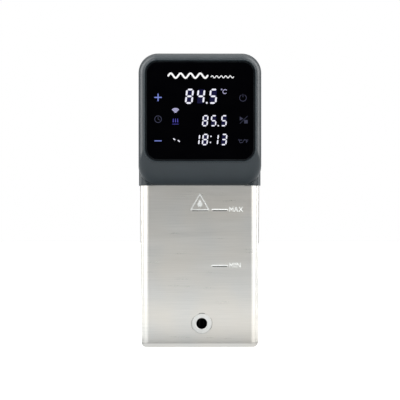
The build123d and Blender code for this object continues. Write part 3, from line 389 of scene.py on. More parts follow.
def screw_tree(name, cross):
    """Button-head screws on points: a domed head behind each point, a hexagon or cross recess and a shank."""
    tree, given = new_tree(name, [
        ("Head Radius", "Float", 2.8 * MM), ("Head Height", "Float", 1.8 * MM),
        ("Recess Width", "Float", 2.2 * MM), ("Recess Depth", "Float", 1.1 * MM),
        ("Shank Radius", "Float", 1.5 * MM), ("Shank Length", "Float", 8 * MM), ("Material", "Material", None),
    ])
    dome_power, dome_draw, arm_share = 2.2, 0.34, 0.27

    def lifted(mesh, height, share=1.0):
        rise = node(tree, "ShaderNodeMath", {0: height, 1: share}, operation="MULTIPLY")
        place = node(tree, "ShaderNodeCombineXYZ", {"Z": rise})
        return node(tree, "GeometryNodeTransform", {"Geometry": mesh, "Translation": place})

    head = node(tree, "GeometryNodeMeshCylinder", {
        "Vertices": 32, "Side Segments": 6, "Radius": given["Head Radius"], "Depth": given["Head Height"],
    }, fill_type="NGON")
    head = lifted(head, given["Head Height"], 0.5)
    # the dome: each ring is drawn in by a power of its height
    apart = node(tree, "ShaderNodeSeparateXYZ", {0: node(tree, "GeometryNodeInputPosition")}).outputs
    share = node(tree, "ShaderNodeMath", {0: apart["Z"], 1: given["Head Height"]}, operation="DIVIDE")
    curve = node(tree, "ShaderNodeMath", {0: share, 1: dome_power}, operation="POWER")
    inward = node(tree, "ShaderNodeMath", {0: curve, 1: dome_draw}, operation="MULTIPLY")
    kept = node(tree, "ShaderNodeMath", {0: 1.0, 1: inward}, operation="SUBTRACT")
    sides = {axis: node(tree, "ShaderNodeMath", {0: apart[axis], 1: kept}, operation="MULTIPLY")
             for axis in "XY"}
    shaped = node(tree, "ShaderNodeCombineXYZ", {**sides, "Z": apart["Z"]})
    head = node(tree, "GeometryNodeSetPosition", {"Geometry": head, "Position": shaped})
    # the recess is cut by a bit that stands half in the head
    wide = given["Recess Width"]
    deep = node(tree, "ShaderNodeMath", {0: given["Recess Depth"], 1: 2.0}, operation="MULTIPLY")
    if cross:
        arm = node(tree, "ShaderNodeMath", {0: wide, 1: arm_share}, operation="MULTIPLY")
        bit = node(tree, "GeometryNodeMeshBoolean", operation="UNION")
        for size in ((wide, arm, deep), (arm, wide, deep)):
            sizes = node(tree, "ShaderNodeCombineXYZ", zip("XYZ", size))
            feed(tree, bit, {"Mesh 2": node(tree, "GeometryNodeMeshCube", {"Size": sizes})})
    else:
        radius = node(tree, "ShaderNodeMath", {0: wide, 1: 0.5}, operation="MULTIPLY")
        bit = node(tree, "GeometryNodeMeshCylinder", {"Vertices": 6, "Radius": radius, "Depth": deep},
                   fill_type="NGON")
    bit = lifted(bit, given["Head Height"])
    head = node(tree, "GeometryNodeMeshBoolean", {"Mesh 1": head, "Mesh 2": bit}, operation="DIFFERENCE")
    shank = node(tree, "GeometryNodeMeshCylinder", {
        "Vertices": 16, "Radius": given["Shank Radius"], "Depth": given["Shank Length"],
    }, fill_type="NGON")
    screw = node(tree, "GeometryNodeJoinGeometry", {0: head})
    feed(tree, screw, {0: lifted(shank, given["Shank Length"], -0.5)})
    heads = node(tree, "GeometryNodeInstanceOnPoints", {
        "Points": given["Geometry"], "Instance": screw, "Rotation": (radians(-90), 0, 0),
    })
    return finish_tree(tree, heads, given)


def thread_tree(name):
    """A right-hand threaded spindle with a plain neck, made upright and then laid along Y behind a point."""
    tree, given = new_tree(name, [
        ("Crest Radius", "Float", 4 * MM), ("Ridge", "Float", 0.62 * MM), ("Pitch", "Float", 2 * MM),
        ("Length", "Float", 44 * MM), ("Neck Radius", "Float", 2.5 * MM), ("Neck Length", "Float", 5 * MM),
        ("Place", "Vector", None), ("Material", "Material", None),
    ])
    turn_steps, sunk = 28, 0.35

    def rod(radius, length, share):
        """A round bar whose middle is at that share of its length."""
        middle = node(tree, "ShaderNodeMath", {0: length, 1: share}, operation="MULTIPLY")
        body = node(tree, "GeometryNodeMeshCylinder", {"Vertices": 32, "Radius": radius, "Depth": length},
                    fill_type="NGON")
        place = node(tree, "ShaderNodeCombineXYZ", {"Z": middle})
        return node(tree, "GeometryNodeTransform", {"Geometry": body, "Translation": place})

    # the ridge's centre line, the core that the ridge is sunk in, and the height that the ridge climbs
    centre_line = node(tree, "ShaderNodeMath", {0: given["Crest Radius"], 1: given["Ridge"]},
                       operation="SUBTRACT")
    core = node(tree, "ShaderNodeMath", {0: given["Ridge"], 1: -sunk, 2: centre_line}, operation="MULTIPLY_ADD")
    climb = node(tree, "ShaderNodeMath", {0: given["Ridge"], 1: -2.0, 2: given["Length"]},
                 operation="MULTIPLY_ADD")
    turns = node(tree, "ShaderNodeMath", {0: climb, 1: given["Pitch"]}, operation="DIVIDE")
    helix = node(tree, "GeometryNodeCurveSpiral", {
        "Resolution": turn_steps, "Rotations": turns, "Start Radius": centre_line, "End Radius": centre_line,
        "Height": climb,
    })
    ridge = node(tree, "GeometryNodeCurvePrimitiveCircle", {"Resolution": 8, "Radius": given["Ridge"]})
    thread = node(tree, "GeometryNodeCurveToMesh", {"Curve": helix, "Profile Curve": ridge, "Fill Caps": True})
    lift = node(tree, "ShaderNodeCombineXYZ", {"Z": given["Ridge"]})
    thread = node(tree, "GeometryNodeTransform", {"Geometry": thread, "Translation": lift})
    whole = node(tree, "GeometryNodeJoinGeometry", {0: thread})
    feed(tree, whole, {0: rod(core, given["Length"], 0.5)})
    feed(tree, whole, {0: rod(given["Neck Radius"], given["Neck Length"], -0.5)})
    laid = node(tree, "GeometryNodeTransform", {
        "Geometry": whole, "Rotation": (radians(-90), 0, 0), "Translation": given["Place"],
    })
    return finish_tree(tree, laid, given)


# ---------------------------------------------------------------- settings
class CirculatorDisplay(bpy.types.PropertyGroup):
    """Sizes and colours of what the glass shows."""

    big_height: FloatProperty(
        name="Big Digits", description="Height of the bath temperature", default=15.8 * MM, **LENGTH)
    small_height: FloatProperty(
        name="Small Digits", description="Height of the set point and the timer", default=12.0 * MM, **LENGTH)
    stroke: FloatProperty(
        name="Stroke", description="Segment width as a share of the digit's height", default=0.115,
        subtype="FACTOR")
    lean: FloatProperty(
        name="Lean", description="How far the digits lean to the right", default=radians(6), subtype="ANGLE",
        unit="ROTATION")
    key_size: FloatProperty(
        name="Key Symbols", description="Width of the plus and minus keys", default=6.8 * MM, **LENGTH)
    lift: FloatProperty(
        name="Lift", description="Thickness of the artwork on the glass", default=0.06 * MM, **LENGTH)
    digit_colour: StringProperty(name="Digits", description="sRGB hex of the lit digits", default="#f4f4ff")
    glow_colour: StringProperty(
        name="Glow", description="sRGB hex of the window round the digits", default="#07073a")
    key_colour: StringProperty(name="Keys", description="sRGB hex of the lit keys", default="#7f8fe0")
    symbol_colour: StringProperty(
        name="Symbols", description="sRGB hex of the unit and link symbols", default="#c3c0e6")
    heat_colour: StringProperty(name="Heating", description="sRGB hex of the heating symbol", default="#5a57c4")
    dim_colour: StringProperty(name="Dim Keys", description="sRGB hex of the unlit keys", default="#3a3c50")
    print_colour: StringProperty(name="Print", description="sRGB hex of the printed wave", default="#fbfbfb")


class CirculatorLook(bpy.types.PropertyGroup):
    """Colours and pattern sizes of the visible shells."""

    abs_light: StringProperty(
        name="Housing Light", description="sRGB hex of the housing's lighter tone", default="#1b2429")
    abs_dark: StringProperty(
        name="Housing Dark", description="sRGB hex of the housing's darker tone", default="#161e22")
    steel_light: StringProperty(
        name="Steel Light", description="sRGB hex of the brushed steel's lighter streaks", default="#d0cfcb")
    steel_dark: StringProperty(
        name="Steel Dark", description="sRGB hex of the brushed steel's darker streaks", default="#c4c4c0")
    steel_warm: StringProperty(
        name="Steel Warm", description="sRGB hex of the steel's warmer patches", default="#d9d1c4")
    brush_pitch: FloatProperty(
        name="Brush Pitch", description="Distance between the streaks as drawn", default=0.9 * MM, **LENGTH)


class CirculatorMarks(bpy.types.PropertyGroup):
    """The water level marks on the sleeve."""

    max_level: FloatProperty(
        name="Maximum", description="Height of the upper level line", default=144.9 * MM, **LENGTH)
    min_level: FloatProperty(
        name="Minimum", description="Height of the lower level line", default=86.2 * MM, **LENGTH)
    line_start: FloatProperty(
        name="Line Start", description="Where the lines begin, from the centre", default=12.6 * MM, **LENGTH)
    line_length: FloatProperty(
        name="Line Length", description="Length of each line", default=16.5 * MM, **LENGTH)
    line_width: FloatProperty(
        name="Line Width", description="Width of the frosted strokes", default=1.1 * MM, **LENGTH)
    letter_height: FloatProperty(
        name="Letters", description="Height of the level words", default=4.6 * MM, **LENGTH)
    # painted shade: the radius of the dark ring painted round the outlet
    outlet_shade_radius: FloatProperty(
        name="Outlet Shade", description="Radius of the painted shade round the outlet", default=11.0 * MM, **LENGTH)
    sign_height: FloatProperty(name="Sign", description="Height of the triangle", default=16.3 * MM, **LENGTH)


class CirculatorFasteners(bpy.types.PropertyGroup):
    """Screw heads and the clamp's thread."""

    head_height: FloatProperty(
        name="Head Height", description="Height of the housing's screw heads", default=1.8 * MM, **LENGTH)
    small_head_height: FloatProperty(
        name="Small Head Height", description="Height of the sleeve's and inlet's heads", default=1.6 * MM,
        **LENGTH)
    recess_width: FloatProperty(
        name="Recess", description="Width of the driver's recess", default=2.6 * MM, **LENGTH)
    pitch: FloatProperty(
        name="Thread Pitch", description="Distance between the clamp screw's ridges", default=2.0 * MM,
        **LENGTH)
    ridge: FloatProperty(name="Ridge", description="Radius of the thread's ridge", default=0.62 * MM, **LENGTH)


class CirculatorStage(bpy.types.PropertyGroup):
    """Camera, floor and light."""

    distance: FloatProperty(
        name="Camera Distance", description="From the sleeve's front", default=2.5, **LENGTH)
    half_view: FloatProperty(
        name="Half View", description="Half the width that the camera takes in", default=0.21, **LENGTH)
    height: FloatProperty(name="Camera Height", description="Above the floor", default=0.15485, **LENGTH)
    turn: FloatProperty(
        name="Camera Turn", description="Camera's turn to the left of the front", default=radians(1.0),
        subtype="ANGLE", unit="ROTATION")
    shift: FloatProperty(name="Shift", description="Camera shift that centres the object", default=0.0003)
    floor_size: FloatProperty(name="Floor", description="Width of the floor", default=12.0, **LENGTH)
    floor_glow: FloatProperty(name="Floor Glow", description="Light that the lit floor adds", default=0.45)
    floor_light: FloatProperty(
        name="Floor Light", description="Strength of the floor in reflections", default=0.4)
    pool_light: FloatProperty(
        name="Pool Light", description="Strength of the pool round the object", default=1.35)
    pool_start: FloatProperty(
        name="Pool Start", description="Where the pool of light begins, from the foot", default=0.02, **LENGTH)
    pool_radius: FloatProperty(
        name="Pool Radius", description="Where the pool of light is at its brightest", default=0.2, **LENGTH)
    strip_width: FloatProperty(
        name="Strip Width", description="Width of the low light in front", default=0.4, **LENGTH)
    strip_height: FloatProperty(
        name="Strip Height", description="Height of the low light in front", default=0.025, **LENGTH)
    strip_distance: FloatProperty(
        name="Strip Distance", description="From the centre to the low light", default=0.3, **LENGTH)
    strip_power: FloatProperty(
        name="Strip Power", description="Power of the low light in front", default=0.015, subtype="POWER",
        unit="POWER")
    foot_shade: FloatProperty(
        name="Foot Shade", description="Share of the pool's light left in the object's shade", default=0.25,
        subtype="FACTOR")
    foot_light: FloatProperty(
        name="Foot Light", description="Share of the pool's light right at the foot", default=0.8,
        subtype="FACTOR")
    side_light: FloatProperty(
        name="Side Light", description="Strength of the soft boxes at the sides", default=3.6)
    top_light: FloatProperty(name="Top Light", description="Strength of the soft light above", default=1.3)
    rear_light: FloatProperty(name="Rear Light", description="Strength of the light behind", default=0.5)


class CirculatorSettings(bpy.types.PropertyGroup):
    """Everything that can be set."""

    display: PointerProperty(type=CirculatorDisplay)
    look: PointerProperty(type=CirculatorLook)
    marks: PointerProperty(type=CirculatorMarks)
    fasteners: PointerProperty(type=CirculatorFasteners)
    stage: PointerProperty(type=CirculatorStage)


# ---------------------------------------------------------------- display
# Everything on the glass is laid out in millimetres from the middle of the glass.
SEGMENTS = {"1": "bc", "3": "abgcd", "4": "fgbc", "5": "afgcd", "8": "abcdefg"}
HALF_DIGIT = 0.2  # half a digit's width, as a share of its height
BIG_FIGURES = (("8", -11.2, 15.1), ("4", 0.7, 15.1), ("5", 13.6, 15.1))
SET_FIGURES = (("8", 5.3, -10.4), ("5", 14.1, -10.4), ("5", 24.9, -10.4))
TIMER_FIGURES = (("1", -3.4, -30.0), ("8", 5.2, -30.0), ("1", 16.1, -30.0), ("3", 24.9, -30.0))
DOTS = ((6.9, 8.3, 1.0), (18.9, -15.6, 0.8), (11.3, -26.7, 0.75), (10.7, -33.0, 0.75))
LEFT_KEYS, PLUS_KEY, MINUS_KEY, CLOCK_KEY = -43.9, 13.9, -31.4, -8.8
# the strokes of the unlit keys as (points, width): power, the clock's hands, play over stop, and the two units
DIM_STROKES = (
    (((44.7, 14.4), (44.7, 17.4)), 0.6),
    (((LEFT_KEYS, -6.6), (LEFT_KEYS, CLOCK_KEY), (-42.1, -9.8)), 0.6),
    (((41.6, -13.2), (49.4, -5.6)), 0.5),
    (((44.2, -33.4), (46.0, -30.0)), 0.45),
    (((48.2, -33.3), (48.2, -30.5), (49.9, -30.5)), 0.6),
    (((48.2, -31.9), (49.5, -31.9)), 0.6),
)
DIM_RINGS = (((LEFT_KEYS, CLOCK_KEY), 3.5, 0.7), ((40.4, -30.3), 0.5, 0.35), ((46.8, -30.3), 0.5, 0.35))
PLAY = ((41.4, -6.0), (45.0, -8.1), (41.4, -10.2))
STOP = ((46.0, -9.6), (49.6, -9.6), (49.6, -13.2), (46.0, -13.2))


def digit(figure, height, stroke, lean):
    """Faces of one seven-segment figure, centred on its own middle."""
    wide, high = height * HALF_DIGIT, height / 2 - stroke / 2
    gap, tip = stroke * 0.3, stroke * 0.45
    ends = {
        "a": ((-wide, high), (wide, high)), "b": ((wide, high), (wide, 0)), "c": ((wide, 0), (wide, -high)),
        "d": ((-wide, -high), (wide, -high)), "e": ((-wide, 0), (-wide, -high)),
        "f": ((-wide, high), (-wide, 0)), "g": ((-wide, 0), (wide, 0)),
    }
    faces = []
    for name in SEGMENTS[figure]:
        start, end = (Vector(point) for point in ends[name])
        along = (end - start).normalized()
        across = Vector((-along.y, along.x)) * stroke / 2
        start, end = start + along * gap, end - along * gap
        faces.append([start, start + along * tip + across, end - along * tip + across, end,
                      end - along * tip - across, start + along * tip - across])
    return moved(faces, 0, 0, slant=tan(lean))


def letter_c(size, width):
    """A round C whose height is size."""
    return ribbon(arc((0, 0), size / 2, 45, 315, 14), width)


def wave(start, end, middle, height, turns, width):
    """A level stroke that swings up and down that many times."""
    steps = 14 * turns
    points = [(start + (end - start) * step / steps, middle + height * sin(2 * pi * turns * step / steps))
              for step in range(steps + 1)]
    return ribbon(points, width)


class CIRCULATOR_OT_display(bpy.types.Operator):
    """Adds the lit digits, the keys, the symbols and the printed wave on the glass"""

    bl_idname = "circulator.display"
    bl_label = "Display"

    def execute(self, context):
        display = context.scene.circulator.display
        slant = tan(display.lean)

        def on_glass(name, faces, material, lift=1.0):
            proud = display.lift * lift
            faces = [[(GLASS_MIDDLE.x + x * MM, GLASS_MIDDLE.z + z * MM) for x, z in face] for face in faces]
            piece = plate(name, faces, lambda x, z: GLASS_LOW.y - proud, proud * 0.9, material)
            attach(piece, "main_body")

        big, small = display.big_height / MM, display.small_height / MM
        segments, windows = [], []
        for figures, height in ((BIG_FIGURES, big), (SET_FIGURES, small * 0.98), (TIMER_FIGURES, small)):
            for figure, x, z in figures:
                segments += moved(digit(figure, height, display.stroke * height, display.lean), x, z)
                if figure != "1":
                    wide, high = height * HALF_DIGIT, height * 0.46
                    window = [[(-wide, -high), (wide, -high), (wide, high), (-wide, high)]]
                    windows += moved(window, x, z, slant=slant)
        for x, z, radius in DOTS:
            segments += disc((x, z), radius)
        on_glass("lit_digits", segments, lit("white_led_digits", display.digit_colour, 0.94))
        on_glass("digit_windows", windows, lit("deep_blue_filter", display.glow_colour, 0.5), lift=0.4)

        arm = display.key_size / MM / 2
        left, right = LEFT_KEYS - arm, LEFT_KEYS + arm
        keys = ribbon([(left, PLUS_KEY), (right, PLUS_KEY)], 1.2)
        keys += ribbon([(LEFT_KEYS, PLUS_KEY - arm), (LEFT_KEYS, PLUS_KEY + arm)], 1.2)
        keys += ribbon([(left, MINUS_KEY), (right, MINUS_KEY)], 0.95)
        on_glass("lit_keys", keys, lit("blue_led_keys", display.key_colour, 0.7))

        # unit beside the temperature, radio link as a fan of arcs
        symbols = moved(letter_c(4.3, 0.62), 25.9, 20.0, slant=slant) + ring((22.4, 22.2), 0.55, 0.45)
        for radius in (0.9, 2.2, 3.5, 4.8):
            symbols += ribbon(arc((-25.8, -2.4), radius, 48, 132, 8), 0.95)
        on_glass("lit_symbols", symbols, lit("violet_led_symbols", display.symbol_colour, 0.8))

        heat = ribbon([(-28.9, -13.9), (-22.7, -13.9)], 0.35)
        for step in range(3):
            x = -28.1 + 2.35 * step
            heat += [[(x - 0.4, -12.0), (x + 0.4, -12.0), (x + 0.25, -8.2), (x - 0.25, -8.2)]]
        on_glass("lit_heating", heat, lit("blue_led_heating", display.heat_colour, 0.8))
        blades = ribbon([(-27.7, -29.2), (-26.4, -30.2)], 1.2) + ribbon([(-22.9, -31.0), (-21.6, -32.1)], 1.2)
        on_glass("lit_pump", blades, lit("white_led_pump", display.digit_colour, 0.8))

        dim = ribbon(arc((44.7, 13.5), 3.5, 122, 418, 22), 0.6) + moved(letter_c(3.0, 0.6), 42.6, -31.9)
        dim += [PLAY, STOP]
        for points, width in DIM_STROKES:
            dim += ribbon(points, width)
        for centre, radius, width in DIM_RINGS:
            dim += ring(centre, radius, width)
        on_glass("dim_keys", dim, lit("dim_key_print", display.dim_colour, 0.75))

        # painted highlight: a dark grey band on the glass inside the lip stands in for the light that the
        # glass's edge catches
        edge_width, corner, edge = 1.3, 12.5, []
        reach = (GLASS_HIGH - GLASS_LOW) / 2 / MM
        inset = corner + 0.1
        for quarter, (side_x, side_z) in enumerate(((1, 1), (-1, 1), (-1, -1), (1, -1))):
            centre = (side_x * (reach.x - inset), side_z * (reach.z - inset))
            edge += arc(centre, corner - edge_width / 2, 90 * quarter, 90 * quarter + 90, 10)
        # painted highlight: the eye sees a soft dark grey line
        edge_highlight = grained("painted_glass_edge_highlight", "#0e1113", "#0a0c0e", 0.16, 0.8, 0.004, IOR=1.5)
        on_glass("glass_edge", ribbon(edge, edge_width, closed=True), edge_highlight)

        # a plain water wave, long and high and then short and low
        waves = wave(-33.2, 7.8, 36.6, 2.4, 4, 1.9) + wave(11.4, 34.9, 35.4, 1.1, 5, 0.85)
        on_glass("wave_print", waves, lit("white_screen_print", display.print_colour, 0.96))
        return {"FINISHED"}


# ---------------------------------------------------------------- shells and sleeve marks
class CIRCULATOR_OT_shells(bpy.types.Operator):
    """Finishes the console, the rear housing, the glass and the sleeve"""

    bl_idname = "circulator.shells"
    bl_label = "Shells"

    def execute(self, context):
        look = context.scene.circulator.look
        paint(["front_bezel", "rear_housing"], charcoal_abs(look))
        paint(["display_glass"], coated_glass())
        paint(["immersion_sleeve"], brushed_304(look))
        # cast and bead-blasted 304: paler and more even than the brushed face round it
        blasted = grained("bead_blasted_304", "#dcdcd9", "#cfd0cd", 0.44, 0.8, 0.006, Metallic=1.0)
        paint(["outlet_nozzle"], blasted)
        return {"FINISHED"}


# the strokes of the letters in MAX and MIN, each on a unit square
LETTERS = {
    "M": [[(0, 0), (0, 1), (0.5, 0.35), (1, 1), (1, 0)]],
    "A": [[(0, 0), (0.5, 1), (1, 0)], [(0.22, 0.36), (0.78, 0.36)]],
    "X": [[(0, 0), (1, 1)], [(0, 1), (1, 0)]],
    "I": [[(0.5, 0), (0.5, 1)]],
    "N": [[(0, 0), (0, 1), (1, 0), (1, 1)]],
}


class CIRCULATOR_OT_marks(bpy.types.Operator):
    """Adds the level lines, their words and the water sign on the front of the sleeve"""

    bl_idname = "circulator.marks"
    bl_label = "Level Marks"

    def execute(self, context):
        marks = context.scene.circulator.marks
        sleeve = BVHTree.FromObject(frame["nodes"]["immersion_sleeve"], context.evaluated_depsgraph_get())

        def on_sleeve(proud):
            def depth(x, z):
                hit = sleeve.ray_cast(Vector((x, -1, z)), Vector((0, 1, 0)))[0]
                if hit is None:
                    raise RuntimeError("a mark lies off the sleeve")
                return hit.y - proud
            return depth

        width = marks.line_width
        frosted, painted_shade_strokes = [], []
        for word, level in (("MAX", marks.max_level), ("MIN", marks.min_level)):
            end = marks.line_start + marks.line_length
            frosted += ribbon([(marks.line_start, level), (end, level)], width)
            # painted shadow: a dark stroke just under each level line, as if the line stood proud and shaded
            # the steel below it
            low = level - width
            painted_shade_strokes += ribbon([(marks.line_start + width, low), (end - width, low)], width)
            tall, x = marks.letter_height, end + 2.2 * MM
            for letter in word:
                wide = tall * 0.78 * (0.35 if letter == "I" else 1.0)
                for stroke in LETTERS[letter]:
                    points = [(x + px * wide, level - tall * 0.45 + pz * tall) for px, pz in stroke]
                    frosted += ribbon(points, width * 0.68)
                x += wide + tall * 0.3
        # a plain triangle round a drop of water
        base, height = marks.max_level - 0.2 * MM, marks.sign_height
        half = height * 0.575
        sign = ribbon([(-half, base), (half, base), (0, base + height)], width, closed=True)
        # painted shadow under the triangle's base
        painted_shade_strokes += ribbon([(-half * 0.85, base - width), (half * 0.85, base - width)], width * 0.6)
        drop_radius = height * 0.165
        middle = base + height * 0.34
        sign += [arc((0, middle), drop_radius, 145, 395, 16) + [(0, middle + drop_radius * 2.1)]]

        # painted shade round the outlet's ring: darkest along its upper edge, faint at the sides
        low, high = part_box("outlet_nozzle")
        centre, radius = ((low.x + high.x) / 2, (low.z + high.z) / 2), marks.outlet_shade_radius
        painted_shade_strokes += ribbon(arc(centre, radius, 74, 106, 8), width * 0.5)
        for start in (146, -34):
            painted_shade_strokes += ribbon(arc(centre, radius, start, start + 68, 12), width * 0.22)

        # laser-frosted steel: a fine matt skin that looks paler than the brushed face, deepest on the levels
        pale = grained("laser_frosted_steel", "#e9ebe8", "#dfe1de", 0.52, 0.5, 0.006, Metallic=0.95)
        paler = grained("lightly_frosted_steel", "#d2d4d1", "#c8cac7", 0.46, 0.5, 0.006, Metallic=0.95)
        # painted shade: a soft grey drawn on the steel under the lines and the sign, and round the outlet
        grey = grained("painted_shade_steel", "#6d6e6b", "#5f605d", 0.35, 0.5, 0.004, Metallic=0.9)
        for name, faces, material, proud in (("frosted_marks", frosted, pale, 0.08 * MM),
                                             ("frosted_sign", sign, paler, 0.08 * MM),
                                             ("painted_shade_marks", painted_shade_strokes, grey, 0.04 * MM)):
            piece = plate(name, faces, on_sleeve(proud), proud * 0.9, material)
            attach(piece, "main_body")
        return {"FINISHED"}


# ---------------------------------------------------------------- fasteners and clamp
class CIRCULATOR_OT_fasteners(bpy.types.Operator):
    """Adds the recessed screws of the housing, the bracket, the sleeve and the inlet"""

    bl_idname = "circulator.fasteners"
    bl_label = "Screws"

    def execute(self, context):
        fasteners = context.scene.circulator.fasteners
        zinc = bpy.data.materials["bright_zinc_plate"]
        trees = {False: screw_tree("hexagon_screws", False), True: screw_tree("cross_screws", True)}
        large, small = fasteners.head_height, fasteners.small_head_height
        for name, head_height, cross in (("rear_screws", large, False), ("bracket_screws", large, False),
                                         ("sleeve_screws", small, False), ("inlet_screws", small, True)):
            boxes = solids_of(name)
            low, high = boxes[0]
            places = [((a.x + b.x) / 2, b.y - head_height, (a.z + b.z) / 2) for a, b in boxes]
            piece = new_piece(name.replace("_screws", "_screw_heads"), places)
            run_tree(piece, trees[cross], {
                "Head Radius": (high.x - low.x) / 2, "Head Height": head_height,
                "Recess Width": fasteners.recess_width * (1.25 if cross else 1.0),
                "Recess Depth": head_height * 0.6,
                "Shank Length": high.y - low.y - head_height, "Material": zinc,
            })
            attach(piece, "main_body")
            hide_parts(name)
        return {"FINISHED"}


class CIRCULATOR_OT_clamp(bpy.types.Operator):
    """Adds the clamp's threaded spindle"""

    bl_idname = "circulator.clamp"
    bl_label = "Clamp Spindle"

    def execute(self, context):
        fasteners = context.scene.circulator.fasteners
        low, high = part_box("clamp_screw")
        thread_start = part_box("clamp_nut")[0].y
        spindle = new_piece("threaded_spindle", [(0, 0, 0)])
        run_tree(spindle, thread_tree("right_hand_thread"), {
            "Crest Radius": (high.x - low.x) / 2, "Ridge": fasteners.ridge, "Pitch": fasteners.pitch,
            "Length": high.y - thread_start, "Neck Length": thread_start - low.y,
            "Place": (0.0, thread_start, (low.z + high.z) / 2),
            "Material": bpy.data.materials["drawn_304_stainless"],
        })
        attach(spindle, "clamp_spindle")
        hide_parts("clamp_screw")
        return {"FINISHED"}


class CIRCULATOR_OT_finishes(bpy.types.Operator):
    """Finishes every other part by its material slot"""

    bl_idname = "circulator.finishes"
    bl_label = "Other Finishes"

    def execute(self, context):
        finishes = plain_finishes()
        for part in frame["record"]["subparts"]:
            if part["material_slot"] in finishes and part["node"] != "outlet_nozzle":
                paint([part["node"]], finishes[part["material_slot"]])
        return {"FINISHED"}


# ---------------------------------------------------------------- stage
def studio_paper(stage):
    """White background paper, lit from below: the eye sees plain white, the object mirrors a pool of light."""
    material, tree, shader = new_material("white_studio_paper")
    fibre = object_noise(tree, 1.5 * MM)
    shade = node(tree, "ShaderNodeMix", {0: fibre, 6: linear("#f3f3f2"), 7: linear("#fafafa")},
                 data_type="RGBA")
    feed(tree, shader, {"Base Color": shade.outputs[2], "Roughness": 0.9, "Emission Color": linear("#ffffff"),
                        "Emission Strength": stage.floor_glow})
    # how far a place lies outside the sleeve's foot
    place = node(tree, "ShaderNodeTexCoord").outputs["Object"]
    foot_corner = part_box("immersion_sleeve")[1]
    apart = node(tree, "ShaderNodeVectorMath", {0: place}, operation="ABSOLUTE")
    apart = node(tree, "ShaderNodeVectorMath", {0: apart, 1: (foot_corner.x, foot_corner.y, 0.0)},
                 operation="SUBTRACT")
    apart = node(tree, "ShaderNodeSeparateXYZ", {0: apart}).outputs
    away = node(tree, "ShaderNodeMath", {0: apart["X"], 1: apart["Y"]}, operation="MAXIMUM")
    # The paper glows right at the foot, lies in the object's shade next to it, and rises to the pool of light
    # beyond, which fades towards the edges.
    foot, near, far = (
        node(tree, "ShaderNodeMapRange", {0: away, 1: start, 2: end, 3: first, 4: last})
        for start, end, first, last in (
            (6 * MM, 20 * MM, stage.foot_light, 0.0),
            (stage.pool_start, stage.pool_radius, stage.foot_shade, 1.0),
            (stage.pool_radius * 3, stage.pool_radius * 11, stage.pool_light, stage.floor_light)))
    near = node(tree, "ShaderNodeMath", {0: near, 1: foot}, operation="MAXIMUM")
    pool = node(tree, "ShaderNodeMath", {0: near, 1: far}, operation="MULTIPLY")
    mirrored = node(tree, "ShaderNodeEmission", {"Color": linear("#fbfdff"), "Strength": pool})
    eye = node(tree, "ShaderNodeLightPath").outputs["Is Camera Ray"]
    shown = node(tree, "ShaderNodeMixShader", {0: eye, 1: mirrored, 2: shader})
    output = next(made for made in tree.nodes if made.bl_idname == "ShaderNodeOutputMaterial")
    feed(tree, output, {"Surface": shown})
    return material


def studio_world(stage):
    """Soft boxes at the sides, above and behind, and a plain white backdrop for the eye.

    It stays dark behind the camera, and a dark gap stands between the near and the far side boxes.
    """
    world = bpy.data.worlds.new("studio")
    world.use_nodes = True
    tree = world.node_tree
    tree.nodes.clear()
    way = node(tree, "ShaderNodeTexCoord").outputs["Generated"]
    apart = node(tree, "ShaderNodeSeparateXYZ", {0: way}).outputs
    aside = node(tree, "ShaderNodeMath", {0: apart["X"]}, operation="ABSOLUTE")
    ahead = node(tree, "ShaderNodeMath", {0: apart["Y"], 1: -1.0}, operation="MULTIPLY")
    bearing = node(tree, "ShaderNodeMath", {0: aside, 1: ahead}, operation="ARCTAN2")
    above = node(tree, "ShaderNodeMath", {0: apart["Z"]}, operation="ARCSINE")
    # each light has a strength and soft edges, and an edge runs from its dark to its full angle in degrees
    total = 0.01
    for strength, edges in (
        (stage.side_light, ((bearing, 9, 30), (bearing, 85, 70), (above, 65, 40))),
        (stage.side_light * 2.0, ((bearing, 91, 104), (bearing, 124, 108))),
        (stage.rear_light, ((bearing, 108, 124),)),
        (stage.top_light, ((above, 28, 60),)),
    ):
        for angle, dark, full in edges:
            mask = node(tree, "ShaderNodeMapRange", {0: angle, 1: radians(dark), 2: radians(full)},
                        interpolation_type="SMOOTHSTEP")
            strength = node(tree, "ShaderNodeMath", {0: mask, 1: strength}, operation="MULTIPLY")
        total = node(tree, "ShaderNodeMath", {0: strength, 1: total}, operation="ADD")
    boxes = node(tree, "ShaderNodeBackground", {"Color": linear("#ffffff"), "Strength": total})
    backdrop = node(tree, "ShaderNodeBackground", {"Color": linear("#ffffff"), "Strength": 1.0})
    eye = node(tree, "ShaderNodeLightPath").outputs["Is Camera Ray"]
    node(tree, "ShaderNodeOutputWorld",
         {"Surface": node(tree, "ShaderNodeMixShader", {0: eye, 1: boxes, 2: backdrop})})
    return world


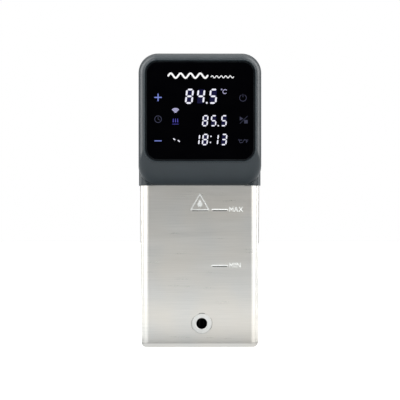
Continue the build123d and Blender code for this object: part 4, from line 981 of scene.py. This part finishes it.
class CIRCULATOR_OT_stage(bpy.types.Operator):
    """Adds the pale floor, the soft studio light and the camera"""

    bl_idname = "circulator.stage"
    bl_label = "Stage"

    def execute(self, context):
        scene = context.scene
        stage = scene.circulator.stage
        half = stage.floor_size / 2
        floor = new_piece("floor", [(-half, -half, 0), (half, -half, 0), (half, half, 0), (-half, half, 0)],
                          [(0, 1, 2, 3)])
        floor.data.materials.append(studio_paper(stage))

        scene.world = studio_world(stage)
        strip = bpy.data.lights.new("low_front_strip", "AREA")
        strip.shape = "RECTANGLE"
        strip.size, strip.size_y = stage.strip_width, stage.strip_height
        strip.energy = stage.strip_power
        low_front = bpy.data.objects.new("low_front_strip", strip)
        low_front.location = (0, -stage.strip_distance, stage.strip_height / 2)
        low_front.rotation_euler = (radians(90), 0, 0)
        low_front.visible_camera = False
        scene.collection.objects.link(low_front)
        scene.view_settings.view_transform = "Standard"
        lens = bpy.data.cameras.new("front_camera")
        camera = bpy.data.objects.new("front_camera", lens)
        scene.collection.objects.link(camera)
        lens.sensor_width = 36
        lens.lens = lens.sensor_width / 2 * stage.distance / stage.half_view
        lens.shift_x = stage.shift
        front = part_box("immersion_sleeve")[0].y
        aside, ahead = sin(stage.turn) * stage.distance, cos(stage.turn) * stage.distance
        camera.location = (-aside, front - ahead, stage.height)
        camera.rotation_euler = (radians(90), 0, -stage.turn)
        scene.camera = camera
        return {"FINISHED"}


class CIRCULATOR_PT_panel(bpy.types.Panel):
    """Lists the steps in the sidebar"""

    bl_label = "Circulator"
    bl_idname = "CIRCULATOR_PT_panel"
    bl_space_type = "VIEW_3D"
    bl_region_type = "UI"
    bl_category = "Circulator"

    def draw(self, context):
        for step in STEPS:
            self.layout.operator(step.bl_idname)


STEPS = (CIRCULATOR_OT_stage, CIRCULATOR_OT_shells, CIRCULATOR_OT_finishes, CIRCULATOR_OT_display,
         CIRCULATOR_OT_marks, CIRCULATOR_OT_fasteners, CIRCULATOR_OT_clamp)
GROUPS = (CirculatorDisplay, CirculatorLook, CirculatorMarks, CirculatorFasteners, CirculatorStage,
          CirculatorSettings)


def register():
    """Registers the settings, the operators and the panel."""
    for entry in (*GROUPS, *STEPS, CIRCULATOR_PT_panel):
        bpy.utils.register_class(entry)
    bpy.types.Scene.circulator = PointerProperty(type=CirculatorSettings)


def unregister():
    """Takes them away again."""
    del bpy.types.Scene.circulator
    for entry in reversed((*GROUPS, *STEPS, CIRCULATOR_PT_panel)):
        bpy.utils.unregister_class(entry)


def main():
    """Runs every step in order."""
    register()
    for step in STEPS:
        group, name = step.bl_idname.split(".")
        getattr(getattr(bpy.ops, group), name)()


if __name__ == "__main__":
    main()
